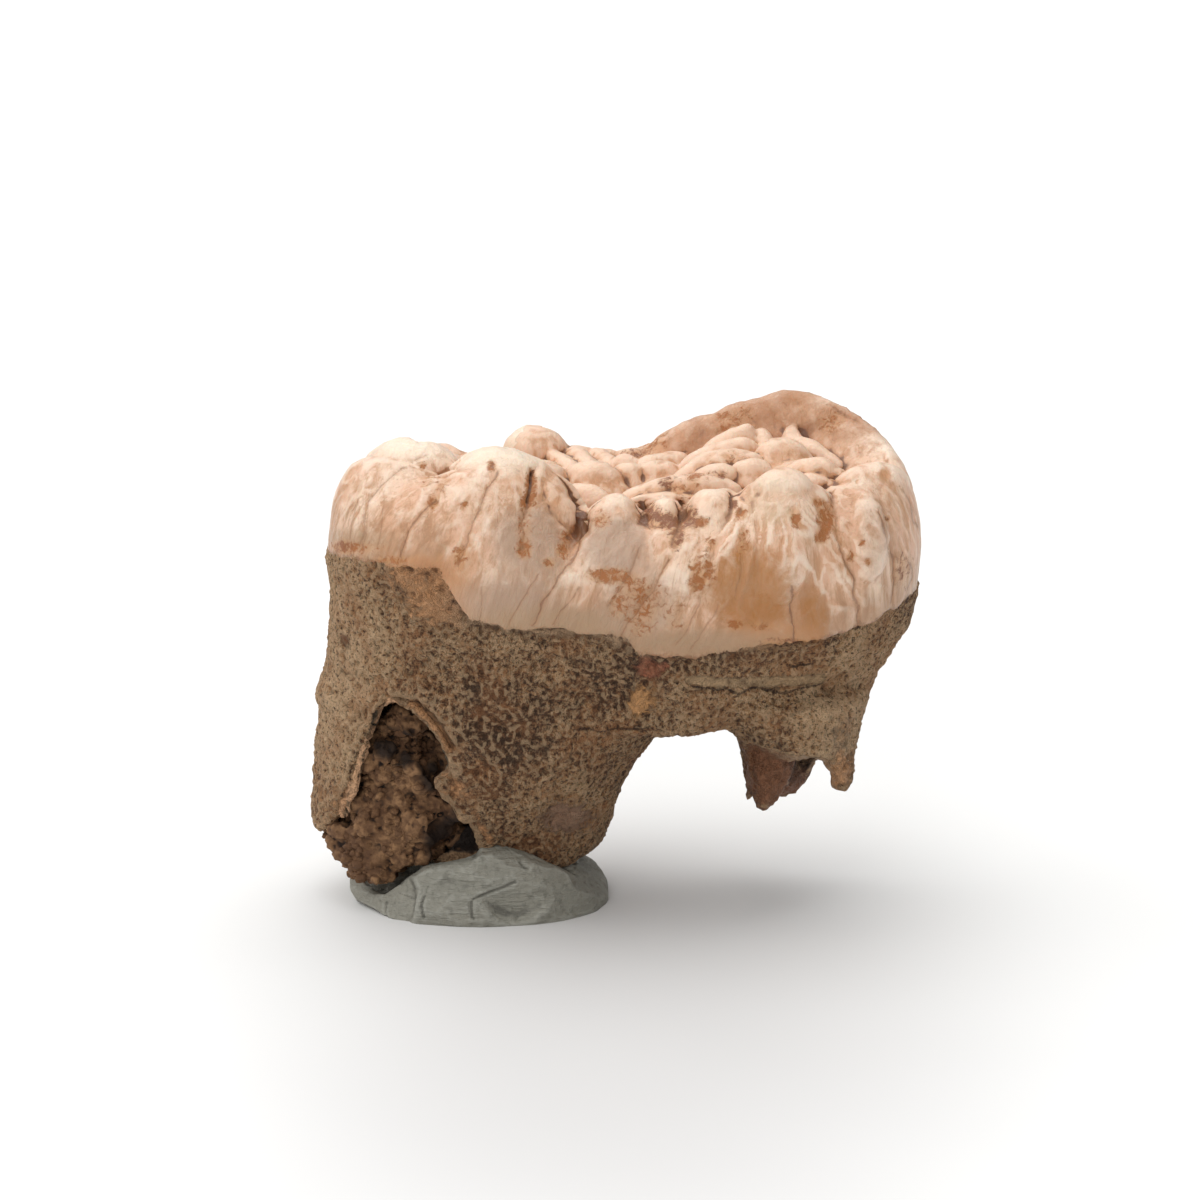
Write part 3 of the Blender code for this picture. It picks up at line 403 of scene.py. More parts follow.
class MolarColours(bpy.types.PropertyGroup):
    enamel: colour_property("Enamel", "Pinkish cream of the enamel", (0.70, 0.415, 0.265))
    enamel_pale: colour_property("Pale enamel", "Whitish bloom on the enamel's cusps", (0.84, 0.62, 0.46))
    enamel_warm: colour_property("Warm enamel", "Warmer, deeper places of the enamel", (0.52, 0.265, 0.13))
    basin: colour_property("Basin", "Orange tan of the chewing surface", (0.64, 0.34, 0.18))
    # The streak colour also paints shade into the enamel's hollows.
    streak: colour_property("Streaks", "Brown growth streaks and halos of the cracks", (0.42, 0.20, 0.09))
    # The crevice colour is dirt and painted shade in the enamel's crevices.
    crevice_dirt_and_shade: colour_property("Crevice", "Dirt in the crevices and cracks of the enamel", (0.17, 0.07, 0.033))
    root: colour_property("Root", "Deep brown of the root", (0.25, 0.118, 0.053))
    root_mid: colour_property("Middle root", "Main brown of the root", (0.56, 0.29, 0.13))
    root_light: colour_property("Light root", "Tan of its fibres and edges", (0.92, 0.62, 0.36))
    # The dark root colour also paints shade into the root's hollows.
    root_dark: colour_property("Dark root", "Its pores and stains", (0.065, 0.029, 0.012))
    earth: colour_property("Cave earth", "Main brown of the crumbs", (0.125, 0.060, 0.026))
    earth_light: colour_property("Light crumbs", "Paler crumbs", (0.30, 0.165, 0.078))
    putty: colour_property("Putty", "Greyish green of the putty", (0.27, 0.262, 0.218))
    floor: colour_property("Floor", "Pale floor", (0.88, 0.88, 0.87))
    # The floor-in-front colour is a painted shadow of the tooth on the floor.
    floor_shadow: colour_property("Floor in front", "Greyer floor in front of the tooth", (0.68, 0.672, 0.665))


def sizes():
    """The sizes that the panel shows."""
    return bpy.context.scene.molar_sizes


def colours():
    """The colours that the panel shows."""
    return bpy.context.scene.molar_colours


def smooth_row(rows, share):
    """The row at a share from 0 to 1 of the way through a table, on a smooth curve through its rows."""
    rows = np.array(rows)
    place = share * (len(rows) - 1)
    first = min(int(place), len(rows) - 2)
    t = place - first
    before = rows[max(first - 1, 0)]
    a = rows[first]
    b = rows[first + 1]
    after = rows[min(first + 2, len(rows) - 1)]
    bend = 2 * before - 5 * a + 4 * b - after + t * (3 * (a - b) + after - before)
    return a + 0.5 * t * (b - before + t * bend)


def round_table(table, degrees):
    """Value of a table of (turn in degrees, value) at a turn, or at an array of turns."""
    turns = [row[0] for row in table]
    values = [row[1] for row in table]
    return np.interp(degrees, turns, values, period=360)


def smooth_step(value, low, high):
    """0 under low, 1 over high, and an S between them."""
    t = np.clip((value - low) / (high - low), 0.0, 1.0)
    return t * t * (3 - 2 * t)


# Shares of the way from a form's bottom to its top: a rounded end, and the crown's bottom, wall and crest.
CAP_SHARE = 0.12
BOTTOM_SHARE = 0.04
WALL_SHARE = 0.5
ARC_SHARE = 0.72
# Share of the way from the crest to the basin's middle at which the floor is reached.
BASIN_DROP_SHARE = 0.38
RINGS_ROUND = 128
RINGS_UP = 80
FOOT_DROP = 0.0005
FOOT_GROWTH = 1.35
FOOT_MARGIN = 0.00015
EGG_ROUND = 32
EGG_UP = 20


def hoop_radius(turn, half_length, half_depth, roundness):
    """Distance from a hoop's middle to its edge at a turn: an oval, squarer as roundness grows."""
    along = abs(math.cos(turn) / half_length) ** roundness
    across = abs(math.sin(turn) / half_depth) ** roundness
    return (along + across) ** (-1 / roundness)


def cap_share(level, rounding):
    """Share of a hoop's radius near the two ends of a form, where it closes in a rounded cap."""
    near_end = min(level, 1 - level, rounding) / rounding
    return math.sqrt(max(0.0, 1 - (1 - near_end) ** 2))


def ringed_form(place):
    """A closed form: a ball whose level rings are moved to place(turn, level), with level 0 at the bottom."""
    form = bmesh.new()
    bmesh.ops.create_uvsphere(form, u_segments=RINGS_ROUND, v_segments=RINGS_UP, radius=1.0)
    for vert in form.verts:
        turn = math.atan2(vert.co.y, vert.co.x)
        level = 1 - math.acos(max(-1.0, min(1.0, vert.co.z))) / math.pi
        vert.co = place(turn, level)
    return form


def hooped_form(rows, roundness, grow=0.0):
    """A closed form through a table of hoops, grown on every side by `grow`."""

    def place(turn, level):
        height, x, y, half_length, half_depth = smooth_row(rows, level)
        radius = hoop_radius(turn, half_length + grow, half_depth + grow, roundness)
        radius *= cap_share(level, CAP_SHARE)
        height += grow * (2 * level - 1)
        return Vector((x + radius * math.cos(turn), y + radius * math.sin(turn), height))

    return ringed_form(place)


def crown_place(turn, level):
    """Point of the crown: up its wall, round over its crest, and down into its basin."""
    top = CROWN_WALL[-1]
    height, x, y, half_length, half_depth = smooth_row(CROWN_WALL, min(level / WALL_SHARE, 1.0))
    roundness = CROWN_ROUNDNESS - CROWN_ROUNDNESS_CHANGE * math.cos(turn)
    radius = hoop_radius(turn, half_length, half_depth, roundness)
    crest = round_table(CREST_HEIGHTS, math.degrees(turn))
    inset = round_table(CREST_INSETS, math.degrees(turn))
    if level <= WALL_SHARE:
        radius *= min(1.0, level / BOTTOM_SHARE)
    elif level <= ARC_SHARE:
        arc = (level - WALL_SHARE) / (ARC_SHARE - WALL_SHARE) * math.pi / 2
        radius *= 1 - inset * (1 - math.cos(arc))
        height = top[0] + (crest - top[0]) * math.sin(arc)
    else:
        inward = (level - ARC_SHARE) / (1 - ARC_SHARE)
        radius *= (1 - inset) * (1 - inward)
        drop = min(inward / BASIN_DROP_SHARE, 1.0)
        floor = np.interp(x + radius * math.cos(turn), *zip(*BASIN_FLOOR))
        floor += BASIN_TILT * radius * math.sin(turn)
        height = crest + (floor - crest) * drop * drop * (3 - 2 * drop)
    across = radius * math.sin(turn)
    along = radius * math.cos(turn)
    pinch = WAIST_DEPTH * math.exp(-(((x + along - WAIST_X) / WAIST_WIDTH) ** 2))
    return Vector((x + along, y + across * (1 - pinch), height))


def egg(start, end, radius, grow=0.0, segments=(EGG_ROUND, EGG_UP)):
    """An egg-shaped lump whose long axis runs from start to end."""
    start = Vector(start)
    end = Vector(end)
    along = end - start
    half_length = along.length / 2 + radius + grow
    form = bmesh.new()
    bmesh.ops.create_uvsphere(form, u_segments=segments[0], v_segments=segments[1], radius=1.0)
    turned = along.to_track_quat("X", "Z").to_matrix().to_4x4()
    sized = Matrix.Diagonal((half_length, radius + grow, radius + grow, 1.0))
    bmesh.ops.transform(form, matrix=Matrix.Translation((start + end) / 2) @ turned @ sized, verts=form.verts)
    return form


def foot_of_fold(start, end, radius):
    """The broader lump under a fold, whose top lies lower than the fold's."""
    lower = Vector((0.0, 0.0, -FOOT_DROP - radius * (FOOT_GROWTH - 1)))
    return egg(Vector(start) + lower, Vector(end) + lower, radius * FOOT_GROWTH + FOOT_MARGIN)


def slab(outline, front, back, narrowing=1.0):
    """An outline in x and z drawn out along Y, smaller at the back by the narrowing."""
    form = bmesh.new()
    verts = [form.verts.new((x, front, z)) for x, z in outline]
    face = form.faces.new(verts)
    made = bmesh.ops.extrude_face_region(form, geom=[face])["geom"]
    moved = [item for item in made if isinstance(item, bmesh.types.BMVert)]
    bmesh.ops.translate(form, vec=(0.0, back - front, 0.0), verts=moved)
    middle = Vector([sum(v.co[i] for v in moved) / len(moved) for i in range(3)])
    shrink = Matrix.Translation(middle) @ Matrix.Diagonal((narrowing, 1.0, narrowing, 1.0))
    bmesh.ops.transform(form, matrix=shrink @ Matrix.Translation(-middle), verts=moved)
    bmesh.ops.recalc_face_normals(form, faces=form.faces)
    return form


def broken_edge_form(middle, reach, edge, middle_height):
    """What is missing under a root's broken edge, whose height goes by turn round the root's middle."""

    def place(turn, level):
        share = np.interp(level, (0.0, 0.1, 0.3, 1.0), (0.0, 1.0, 1.0, 0.0))
        rise = np.interp(level, (0.1, 0.3), (0.0, 1.0))
        inward = np.interp(level, (0.55, 0.95), (0.0, 1.0))
        top = round_table(edge, math.degrees(turn))
        top += inward * (middle_height - top)
        radius = share * hoop_radius(turn, *reach, ROOT_ROUNDNESS)
        height = BELOW_ALL + rise * (top - BELOW_ALL)
        x = middle[0] + radius * math.cos(turn)
        y = middle[1] + radius * math.sin(turn)
        return Vector((x, y, height))

    return ringed_form(place)


def join_forms(name, forms):
    """One object that holds all the forms, still overlapping."""
    mesh = bpy.data.meshes.new(name)
    whole = bmesh.new()
    for form in forms:
        piece = bpy.data.meshes.new("piece")
        form.to_mesh(piece)
        form.free()
        whole.from_mesh(piece)
        bpy.data.meshes.remove(piece)
    whole.to_mesh(mesh)
    whole.free()
    obj = bpy.data.objects.new(name, mesh)
    bpy.context.scene.collection.objects.link(obj)
    return obj


def add_forms(obj, forms):
    """Adds forms to the object's mesh, still overlapping it."""
    added = join_forms("added", forms)
    whole = bmesh.new()
    whole.from_mesh(obj.data)
    whole.from_mesh(added.data)
    whole.to_mesh(obj.data)
    whole.free()
    bpy.data.objects.remove(added, do_unlink=True)


def settle(obj):
    """Turns the object's modifiers into its mesh."""
    graph = bpy.context.evaluated_depsgraph_get()
    mesh = bpy.data.meshes.new_from_object(obj.evaluated_get(graph))
    obj.modifiers.clear()
    old = obj.data
    obj.data = mesh
    bpy.data.meshes.remove(old)


def fuse(obj, grid):
    """Makes one skin round everything in the object."""
    remesh = obj.modifiers.new("fuse", "REMESH")
    remesh.mode = "VOXEL"
    remesh.voxel_size = grid
    settle(obj)


RELAX_FACTOR = 0.5


def relax(obj, rounds):
    """Rounds off the finest bumps."""
    smooth = obj.modifiers.new("relax", "SMOOTH")
    smooth.factor = RELAX_FACTOR
    smooth.iterations = rounds
    settle(obj)


def carve(obj, forms, grid):
    """Takes the forms away from the object."""
    tool = join_forms("tool", forms)
    if grid:
        fuse(tool, grid)
    cut = obj.modifiers.new("carve", "BOOLEAN")
    cut.operation = "DIFFERENCE"
    cut.solver = "EXACT"
    cut.object = tool
    settle(obj)
    bpy.data.objects.remove(tool, do_unlink=True)


def thin_out(obj, faces, kept=None):
    """Leaves about this many triangles, fewest where the values of kept are low."""
    obj.data.calc_loop_triangles()
    triangles = len(obj.data.loop_triangles)
    if triangles <= faces:
        return
    thin = obj.modifiers.new("thin_out", "DECIMATE")
    thin.ratio = faces / triangles
    thin.use_collapse_triangulate = True
    if kept is not None:
        group = obj.vertex_groups.new(name="kept")
        for weight in np.unique(kept):
            group.add(np.flatnonzero(kept == weight).tolist(), float(weight), "REPLACE")
        thin.vertex_group = group.name
        thin.invert_vertex_group = True
        thin.vertex_group_factor = 1.0
    settle(obj)
    obj.vertex_groups.clear()


def read_points(obj):
    """The object's points and their normals, a row each."""
    points = np.empty(len(obj.data.vertices) * 3)
    obj.data.vertices.foreach_get("co", points)
    normals = np.empty(len(obj.data.vertices) * 3)
    obj.data.vertex_normals.foreach_get("vector", normals)
    return points.reshape(-1, 3), normals.reshape(-1, 3)


def write_points(obj, points):
    """Moves the object's points to these places."""
    obj.data.vertices.foreach_set("co", points.ravel())
    obj.data.update()


def push(obj, height):
    """Moves each point out along its normal by its height."""
    points, normals = read_points(obj)
    write_points(obj, points + normals * height[:, None])


def read_edges(obj):
    """The two points of each edge, by number."""
    edges = np.empty(len(obj.data.edges) * 2, dtype=np.int64)
    obj.data.edges.foreach_get("vertices", edges)
    return edges.reshape(-1, 2)


def evened(values, edges, rounds):
    """Values of points, each drawn towards the mean of its neighbours a number of times."""
    count = len(values)
    neighbours = np.maximum(np.bincount(edges.ravel(), minlength=count), 1)
    for _ in range(rounds):
        total = np.empty_like(values)
        for axis in range(values.shape[1]):
            column = values[:, axis]
            total[:, axis] = np.bincount(edges[:, 0], column[edges[:, 1]], count)
            total[:, axis] += np.bincount(edges[:, 1], column[edges[:, 0]], count)
        values = 0.5 * values + 0.5 * total / neighbours[:, None]
    return values


def hollowness(obj, rounds):
    """How deep each point lies under its surroundings, in millimetres. Ridges are negative."""
    points, normals = read_points(obj)
    around = evened(points, read_edges(obj), rounds)
    return 1000 * np.einsum("ij,ij->i", around - points, normals)


def deepen(obj, rounds, share, chosen):
    """Sinks the creases of the chosen points further and leaves the rounded parts as they are."""
    hollow = np.clip(hollowness(obj, rounds), 0.0, None) / 1000
    push(obj, -share * hollow * chosen)


def noise_at(points, size, shift=0.0):
    """Smooth noise from about -0.7 to 0.7 at each point, with lumps of this size."""
    return np.array([noise.noise(place) for place in (points / size + shift).tolist()])


def store(obj, name, values, kind="FLOAT"):
    """Keeps values of the points in the mesh, for its materials."""
    field = {"FLOAT": "value", "FLOAT_VECTOR": "vector", "FLOAT_COLOR": "color"}[kind]
    attribute = obj.data.attributes.new(name, kind, "POINT")
    attribute.data.foreach_set(field, np.ascontiguousarray(values, dtype=np.float32).ravel())


def view_axes():
    """Where the front view is taken from, and the directions to its right, up and forwards."""
    forward = np.array((0.0, math.cos(VIEW_ELEVATION), -math.sin(VIEW_ELEVATION)))
    eye = np.array(VIEW_TARGET) - VIEW_DISTANCE * forward
    right = np.array((1.0, 0.0, 0.0))
    return eye, right, np.cross(right, forward), forward


def front_view(points):
    """Column and row of each point in the front view, in pixels."""
    eye, right, up, forward = view_axes()
    from_eye = points - eye
    scale = VIEW_LENS / VIEW_SENSOR * VIEW_PIXELS / (from_eye @ forward)
    columns = VIEW_PIXELS / 2 + scale * (from_eye @ right)
    rows = VIEW_PIXELS / 2 - scale * (from_eye @ up)
    return np.column_stack((columns, rows))


def turn_round_crown(points):
    """Turn of each point round the crown's middle, in radians."""
    return np.arctan2(points[:, 1] - CROWN_MIDDLE[1], points[:, 0] - CROWN_MIDDLE[0])


def share_of_reach(points):
    """Share of the way from the crown's middle out to its wall at which each point lies, seen from above."""
    turn = turn_round_crown(points)
    wall = CROWN_WALL[-1]
    squared = np.abs(np.cos(turn) / wall[3]) ** CROWN_ROUNDNESS
    squared += np.abs(np.sin(turn) / wall[4]) ** CROWN_ROUNDNESS
    reach = np.hypot(points[:, 0] - CROWN_MIDDLE[0], points[:, 1] - CROWN_MIDDLE[1])
    return reach * squared ** (1 / CROWN_ROUNDNESS)


# Facing the front view by this much or more, and this share of the way out to the crown's wall.
FACING_LEAST = 0.05
OUTER_SHARE = 0.55
ROOT_TOP = 0.0140
NEAR_RIM_Y = -0.0046


def on_near_side(points, normals):
    """True on the outer surfaces that the front view sees, and not in the basin."""
    eye = view_axes()[0]
    to_eye = eye - points
    to_eye /= np.linalg.norm(to_eye, axis=1)[:, None]
    facing = np.einsum("ij,ij->i", to_eye, normals) > FACING_LEAST
    turn = turn_round_crown(points)
    outward = normals[:, 0] * np.cos(turn) + normals[:, 1] * np.sin(turn)
    outer = (outward > 0.0) & (share_of_reach(points) > OUTER_SHARE)
    return facing & (outer | (points[:, 2] < ROOT_TOP) | (points[:, 1] < NEAR_RIM_Y))


def beside_route(flat, route):
    """Each flat point's signed distance from a route, its distance past the ends, and its share along."""
    distance = np.full(len(flat), np.inf)
    signed = np.full(len(flat), np.inf)
    past = np.zeros(len(flat))
    share = np.zeros(len(flat))
    last = len(route) - 2
    whole = sum(math.dist(start, end) for start, end in zip(route[:-1], route[1:]))
    behind = 0.0
    for index, (start, end) in enumerate(zip(route[:-1], route[1:])):
        start = np.array(start, float)
        along = np.array(end, float) - start
        length = np.linalg.norm(along)
        t = (flat - start) @ along / length**2
        offset = flat - start - np.clip(t, 0.0, 1.0)[:, None] * along
        reach = np.linalg.norm(offset, axis=1)
        across = (along[0] * offset[:, 1] - along[1] * offset[:, 0]) / length
        over = np.zeros(len(flat))
        if index == 0:
            over = np.maximum(over, -t * length)
        if index == last:
            over = np.maximum(over, (t - 1) * length)
        nearer = reach < distance
        distance[nearer] = reach[nearer]
        signed[nearer] = np.where(over > 0, across, np.copysign(reach, across))[nearer]
        past[nearer] = over[nearer]
        share[nearer] = (behind + np.clip(t, 0.0, 1.0)[nearer] * length) / whole
        behind += length
    return signed, past, share


def over_enamel_line(points):
    """How far each point lies over the line where enamel meets root, with the line's ragged course."""
    line = round_table(ENAMEL_LINE, np.degrees(turn_round_crown(points)))
    ragged = 0.00022 * noise_at(points, 0.0011) + 0.00012 * noise_at(points, 0.0004)
    return points[:, 2] - line + ragged


def twisted(points):
    """Places turned round the crown so that the enamel's leaning growth lines run straight down in them."""
    turn = turn_round_crown(points)
    reach = np.hypot(points[:, 0] - CROWN_MIDDLE[0], points[:, 1] - CROWN_MIDDLE[1])
    lean = np.interp(np.degrees(turn) % 360, (0, 90, 180, 230, 300, 330, 360), (-9, -3, 14, 17, 13, -9, -9))
    depth = np.clip(0.0225 - points[:, 2], 0.0, 0.01) / 0.01
    turn = turn + np.radians(lean) * depth
    return np.column_stack((reach * np.cos(turn), reach * np.sin(turn), points[:, 2]))


# The fan of wavy ridges under the tallest near cusp: its top in the front view, and its reach in pixels.
FAN_TOP = (778, 462)
FAN_REACH = (48, 66, 150, 185)
FAN_HALF_ANGLE = (0.62, 0.95)
FAN_LINES = 15.0
FAN_LEAN = 0.05
FAN_WAVE_LENGTH = 55.0
FAN_BEND_LENGTH = 22.0


def fan_height(flat):
    """Height share of the wavy ridges that fan out under the tallest near cusp."""
    across = flat[:, 0] - FAN_TOP[0]
    down = flat[:, 1] - FAN_TOP[1]
    reach = np.hypot(across, down)
    angle = np.arctan2(across, down)
    place = np.column_stack((angle * FAN_LINES / 2, reach / FAN_WAVE_LENGTH, np.zeros(len(flat))))
    bend = 0.6 * noise_at(np.column_stack((across, down, np.zeros(len(flat)))), FAN_BEND_LENGTH)
    place[:, 0] += bend
    wave = 1 - np.abs(2.4 * noise_at(place, 1.0))
    share = smooth_step(reach, *FAN_REACH[:2]) * (1 - smooth_step(reach, *FAN_REACH[2:]))
    share *= 1 - smooth_step(np.abs(angle + FAN_LEAN), *FAN_HALF_ANGLE)
    return np.clip(wave, 0.0, 1.0) ** 2 * share


def sculpt_molar(obj):
    """Lays the enamel's ledge, the grooves, pits, ridges and the root's rough grain on the fused form."""
    points, normals = read_points(obj)
    over = over_enamel_line(points)
    enamel = smooth_step(over, -0.00008, 0.00008)
    near = on_near_side(points, normals)
    flat = front_view(points)
    height = sizes().ledge * enamel
    seen = np.flatnonzero(near)
    seen_flat = flat[seen] + wander(points[seen])
    for route, half_width, first_depth, last_depth in NEAR_GROOVES:
        signed, past, along = beside_route(seen_flat, route)
        share = np.exp(-2.2 * np.hypot(signed, past) / half_width)
        height[seen] -= (first_depth + (last_depth - first_depth) * along) * share
    for x, y, radius, depth in NEAR_PITS:
        reach = np.hypot(seen_flat[:, 0] - x, seen_flat[:, 1] - y)
        height[seen] -= depth * np.clip(1 - (reach / (1.5 * radius)) ** 2, 0.0, 1.0) ** 2
    for route, half_width, dark in NEAR_CRACKS:
        signed, past, _ = beside_route(seen_flat, route)
        share = np.clip(1 - np.hypot(signed, past) / (half_width + 1.0), 0.0, 1.0)
        height[seen] -= 0.00003 * dark * share
    height[seen] += 0.00010 * fan_height(seen_flat) * enamel[seen]
    for route, half_width, _, _ in NEAR_BANDS[:BEVELLED_BANDS]:
        signed, past, _ = beside_route(flat[seen], route)
        share = 1 - smooth_step(np.hypot(signed, past) / half_width, 0.0, 1.9)
        height[seen] -= BEVEL_DEPTH * share
    turns = np.degrees(turn_round_crown(points)) % 360
    far_wall = smooth_step(points[:, 2], *FAR_GROOVE_HEIGHTS)
    far_wall *= smooth_step(share_of_reach(points), 0.58, 0.74)
    for turn, half_width, depth in FAR_GROOVES:
        across = (turns - turn + 3.0 * noise_at(points, 0.0030, 51.0)) / half_width
        height -= depth * np.exp(-across * across) * far_wall * enamel * ~near
    grown = twisted(points)
    streaks = noise_at(grown * (1.0, 1.0, 0.16), 0.00055)
    swells = noise_at(grown * (1.0, 1.0, 0.35), 0.0019, 7.0)
    wrinkles = np.clip(1 - 3.0 * np.abs(noise_at(grown * (1.0, 1.0, 0.6), 0.0009, 17.0)), 0.0, 1.0)
    height += enamel * (0.00003 * streaks + 0.00008 * swells + 0.00004 * wrinkles)
    uneven = 0.00010 * noise_at(points, 0.0013, 71.0) + 0.00003 * noise_at(points, 0.0005, 81.0)
    height += in_basin(points) * uneven
    coarse = noise_at(points, 0.0034)
    lumps = noise_at(points, 0.0011, 3.0)
    grain = 1 - 2.2 * np.abs(noise_at(points * (1.0, 1.0, 0.75), 0.00042, 5.0))
    specks = noise_at(points, 0.00026, 9.0)
    root = 1 - enamel
    height += root * (0.00024 * coarse + 0.00014 * lumps + 0.00010 * grain + 0.00009 * specks)
    push(obj, height)


def wander(points):
    """Small shifts in pixels that make grooves and cracks waver."""
    coarse = np.column_stack((noise_at(points, 0.0012, 2.0), noise_at(points, 0.0012, 12.0)))
    fine = np.column_stack((noise_at(points, 0.0004, 22.0), noise_at(points, 0.0004, 32.0)))
    return 4.5 * coarse + 1.4 * fine


def mark_cracks(points, flat, near):
    """For each point, its place across the nearest crack in half widths, and how dark that crack is."""
    across = np.full(len(flat), 8.0)
    dark = np.zeros(len(flat))
    seen = np.flatnonzero(near)
    seen_flat = flat[seen] + wander(points[seen])
    for route, half_width, strength in NEAR_CRACKS:
        signed, past, _ = beside_route(seen_flat, route)
        scaled = signed / half_width
        nearer = (np.abs(scaled) < np.abs(across[seen])) & (past < 3.0)
        fade = strength * (1 - np.clip(past / 3.0, 0, 1)) * np.clip(2 - np.abs(scaled) / 3.0, 0.0, 1.0)
        chosen = seen[nearer]
        across[chosen] = scaled[nearer]
        dark[chosen] = fade[nearer]
    return across, dark


# Ragged stains seen in the front view: middle, half width, half height, colour and strength.
RUST = (0.36, 0.115, 0.022)
RED_BROWN = (0.21, 0.065, 0.022)
AMBER = (0.40, 0.155, 0.028)
AMBER_GLOW = (0.62, 0.31, 0.12)
ORANGE = (0.55, 0.27, 0.12)
TAN = (0.42, 0.27, 0.16)
STRIP = (0.47, 0.31, 0.17)
PINK = (0.33, 0.19, 0.125)
RED_ROOT = (0.33, 0.11, 0.055)
GREENISH = (0.58, 0.44, 0.29)
GREYISH = (0.44, 0.29, 0.20)
CAP = (0.88, 0.73, 0.57)
NEAR_MARKS = (
    (531, 486, 6, 17, RUST, 1.0), (527, 502, 9, 7, RUST, 0.9), (524, 528, 9, 28, RUST, 0.45),
    (524, 550, 8, 9, RUST, 0.8), (568, 537, 8, 7, RUST, 0.75), (563, 551, 9, 8, RUST, 0.75),
    (549, 563, 8, 6, RUST, 0.6), (602, 520, 10, 10, RUST, 0.55), (608, 576, 26, 9, RUST, 0.75),
    (632, 588, 16, 14, RUST, 0.5), (618, 606, 12, 14, RUST, 0.45), (651, 516, 10, 14, RED_BROWN, 0.9),
    (668, 521, 14, 10, RED_BROWN, 0.8), (677, 535, 8, 15, RED_BROWN, 0.85),
    (690, 519, 10, 13, RED_BROWN, 0.75), (703, 523, 7, 6, RUST, 0.85), (711, 545, 7, 8, RUST, 0.65),
    (700, 566, 14, 14, RUST, 0.5), (707, 574, 12, 12, RUST, 0.55), (695, 584, 8, 8, RUST, 0.75),
    (743, 541, 7, 15, RUST, 0.5), (733, 504, 5, 5, RED_BROWN, 1.0), (741, 514, 7, 6, RUST, 0.85),
    (796, 518, 6, 10, RUST, 0.9), (826, 520, 9, 18, RUST, 0.85), (820, 538, 7, 7, RUST, 0.75),
    (818, 502, 8, 5, RUST, 0.75), (851, 556, 5, 6, RUST, 0.8), (862, 543, 4, 4, RUST, 0.6),
    (868, 562, 4, 4, RUST, 0.6), (887, 518, 3, 3, RED_BROWN, 0.95), (735, 625, 8, 6, RUST, 0.85),
    (760, 627, 10, 5, RUST, 0.55), (650, 600, 18, 22, RUST, 0.42), (640, 622, 16, 18, RUST, 0.4),
    (676, 616, 12, 22, RUST, 0.35), (424, 466, 9, 5, RUST, 0.7), (436, 484, 16, 16, RUST, 0.38),
    (433, 503, 6, 7, RUST, 0.75), (465, 505, 4, 4, RUST, 0.7), (460, 556, 8, 10, RUST, 0.75),
    (492, 466, 5, 7, RUST, 0.8), (355, 548, 34, 7, RUST, 0.5), (343, 546, 10, 7, RED_BROWN, 0.6),
    (392, 560, 20, 5, RUST, 0.6), (345, 640, 7, 7, RED_BROWN, 0.9), (786, 642, 30, 6, RED_BROWN, 0.4),
    (903, 570, 12, 22, RED_BROWN, 0.4),
)

# Soft patches seen in the front view, in the same form.
NEAR_PATCHES = (
    (756, 598, 42, 48, AMBER, 0.95), (718, 592, 26, 24, AMBER, 0.55), (750, 560, 32, 16, AMBER, 0.5),
    (812, 618, 18, 30, AMBER, 0.75), (776, 634, 44, 14, ORANGE, 0.6), (776, 505, 34, 26, GREENISH, 0.45),
    (885, 475, 8, 7, ORANGE, 0.95), (438, 592, 38, 36, ORANGE, 1.0), (412, 574, 34, 16, ORANGE, 0.8),
    (425, 572, 26, 12, RED_BROWN, 0.3), (642, 700, 15, 17, AMBER_GLOW, 1.0),
    (650, 668, 18, 11, RED_ROOT, 0.95), (566, 818, 28, 18, PINK, 0.85), (430, 722, 20, 12, ORANGE, 0.35),
    (450, 745, 14, 14, ORANGE, 0.4), (332, 800, 20, 26, ORANGE, 0.35), (841, 770, 14, 22, ORANGE, 0.8),
    (838, 730, 18, 24, TAN, 0.35), (470, 640, 26, 20, ORANGE, 0.25), (530, 545, 46, 44, GREYISH, 0.8),
    (510, 600, 60, 24, GREYISH, 0.75), (545, 440, 44, 20, CAP, 1.0), (408, 446, 40, 12, CAP, 0.6),
    (778, 482, 30, 12, CAP, 0.4), (713, 491, 16, 8, CAP, 0.6), (612, 500, 22, 9, CAP, 0.5),
    (663, 499, 14, 6, CAP, 0.5), (858, 482, 20, 8, CAP, 0.45), (650, 618, 40, 10, CAP, 0.3),
    (560, 622, 95, 16, TAN, 0.9), (690, 642, 90, 14, TAN, 0.85), (360, 540, 40, 12, TAN, 0.6),
    (615, 545, 36, 34, GREYISH, 1.0), (640, 600, 44, 34, GREYISH, 0.7), (880, 540, 26, 50, GREYISH, 0.4),
)

# Lighter and darker areas of the root in the front view: middle, half width, half height and how much
# lighter.
ROOT_TONES = (
    (345, 640, 40, 130, 0.10), (420, 650, 70, 50, 0.050), (524, 708, 60, 34, -0.042),
    (480, 745, 34, 40, -0.020), (600, 692, 26, 22, -0.035), (325, 770, 22, 60, 0.060),
    (566, 800, 40, 40, 0.045), (650, 745, 34, 22, -0.020), (760, 700, 70, 40, 0.050),
    (845, 735, 34, 80, 0.14), (890, 640, 30, 40, 0.055), (520, 650, 80, 18, 0.010),
)

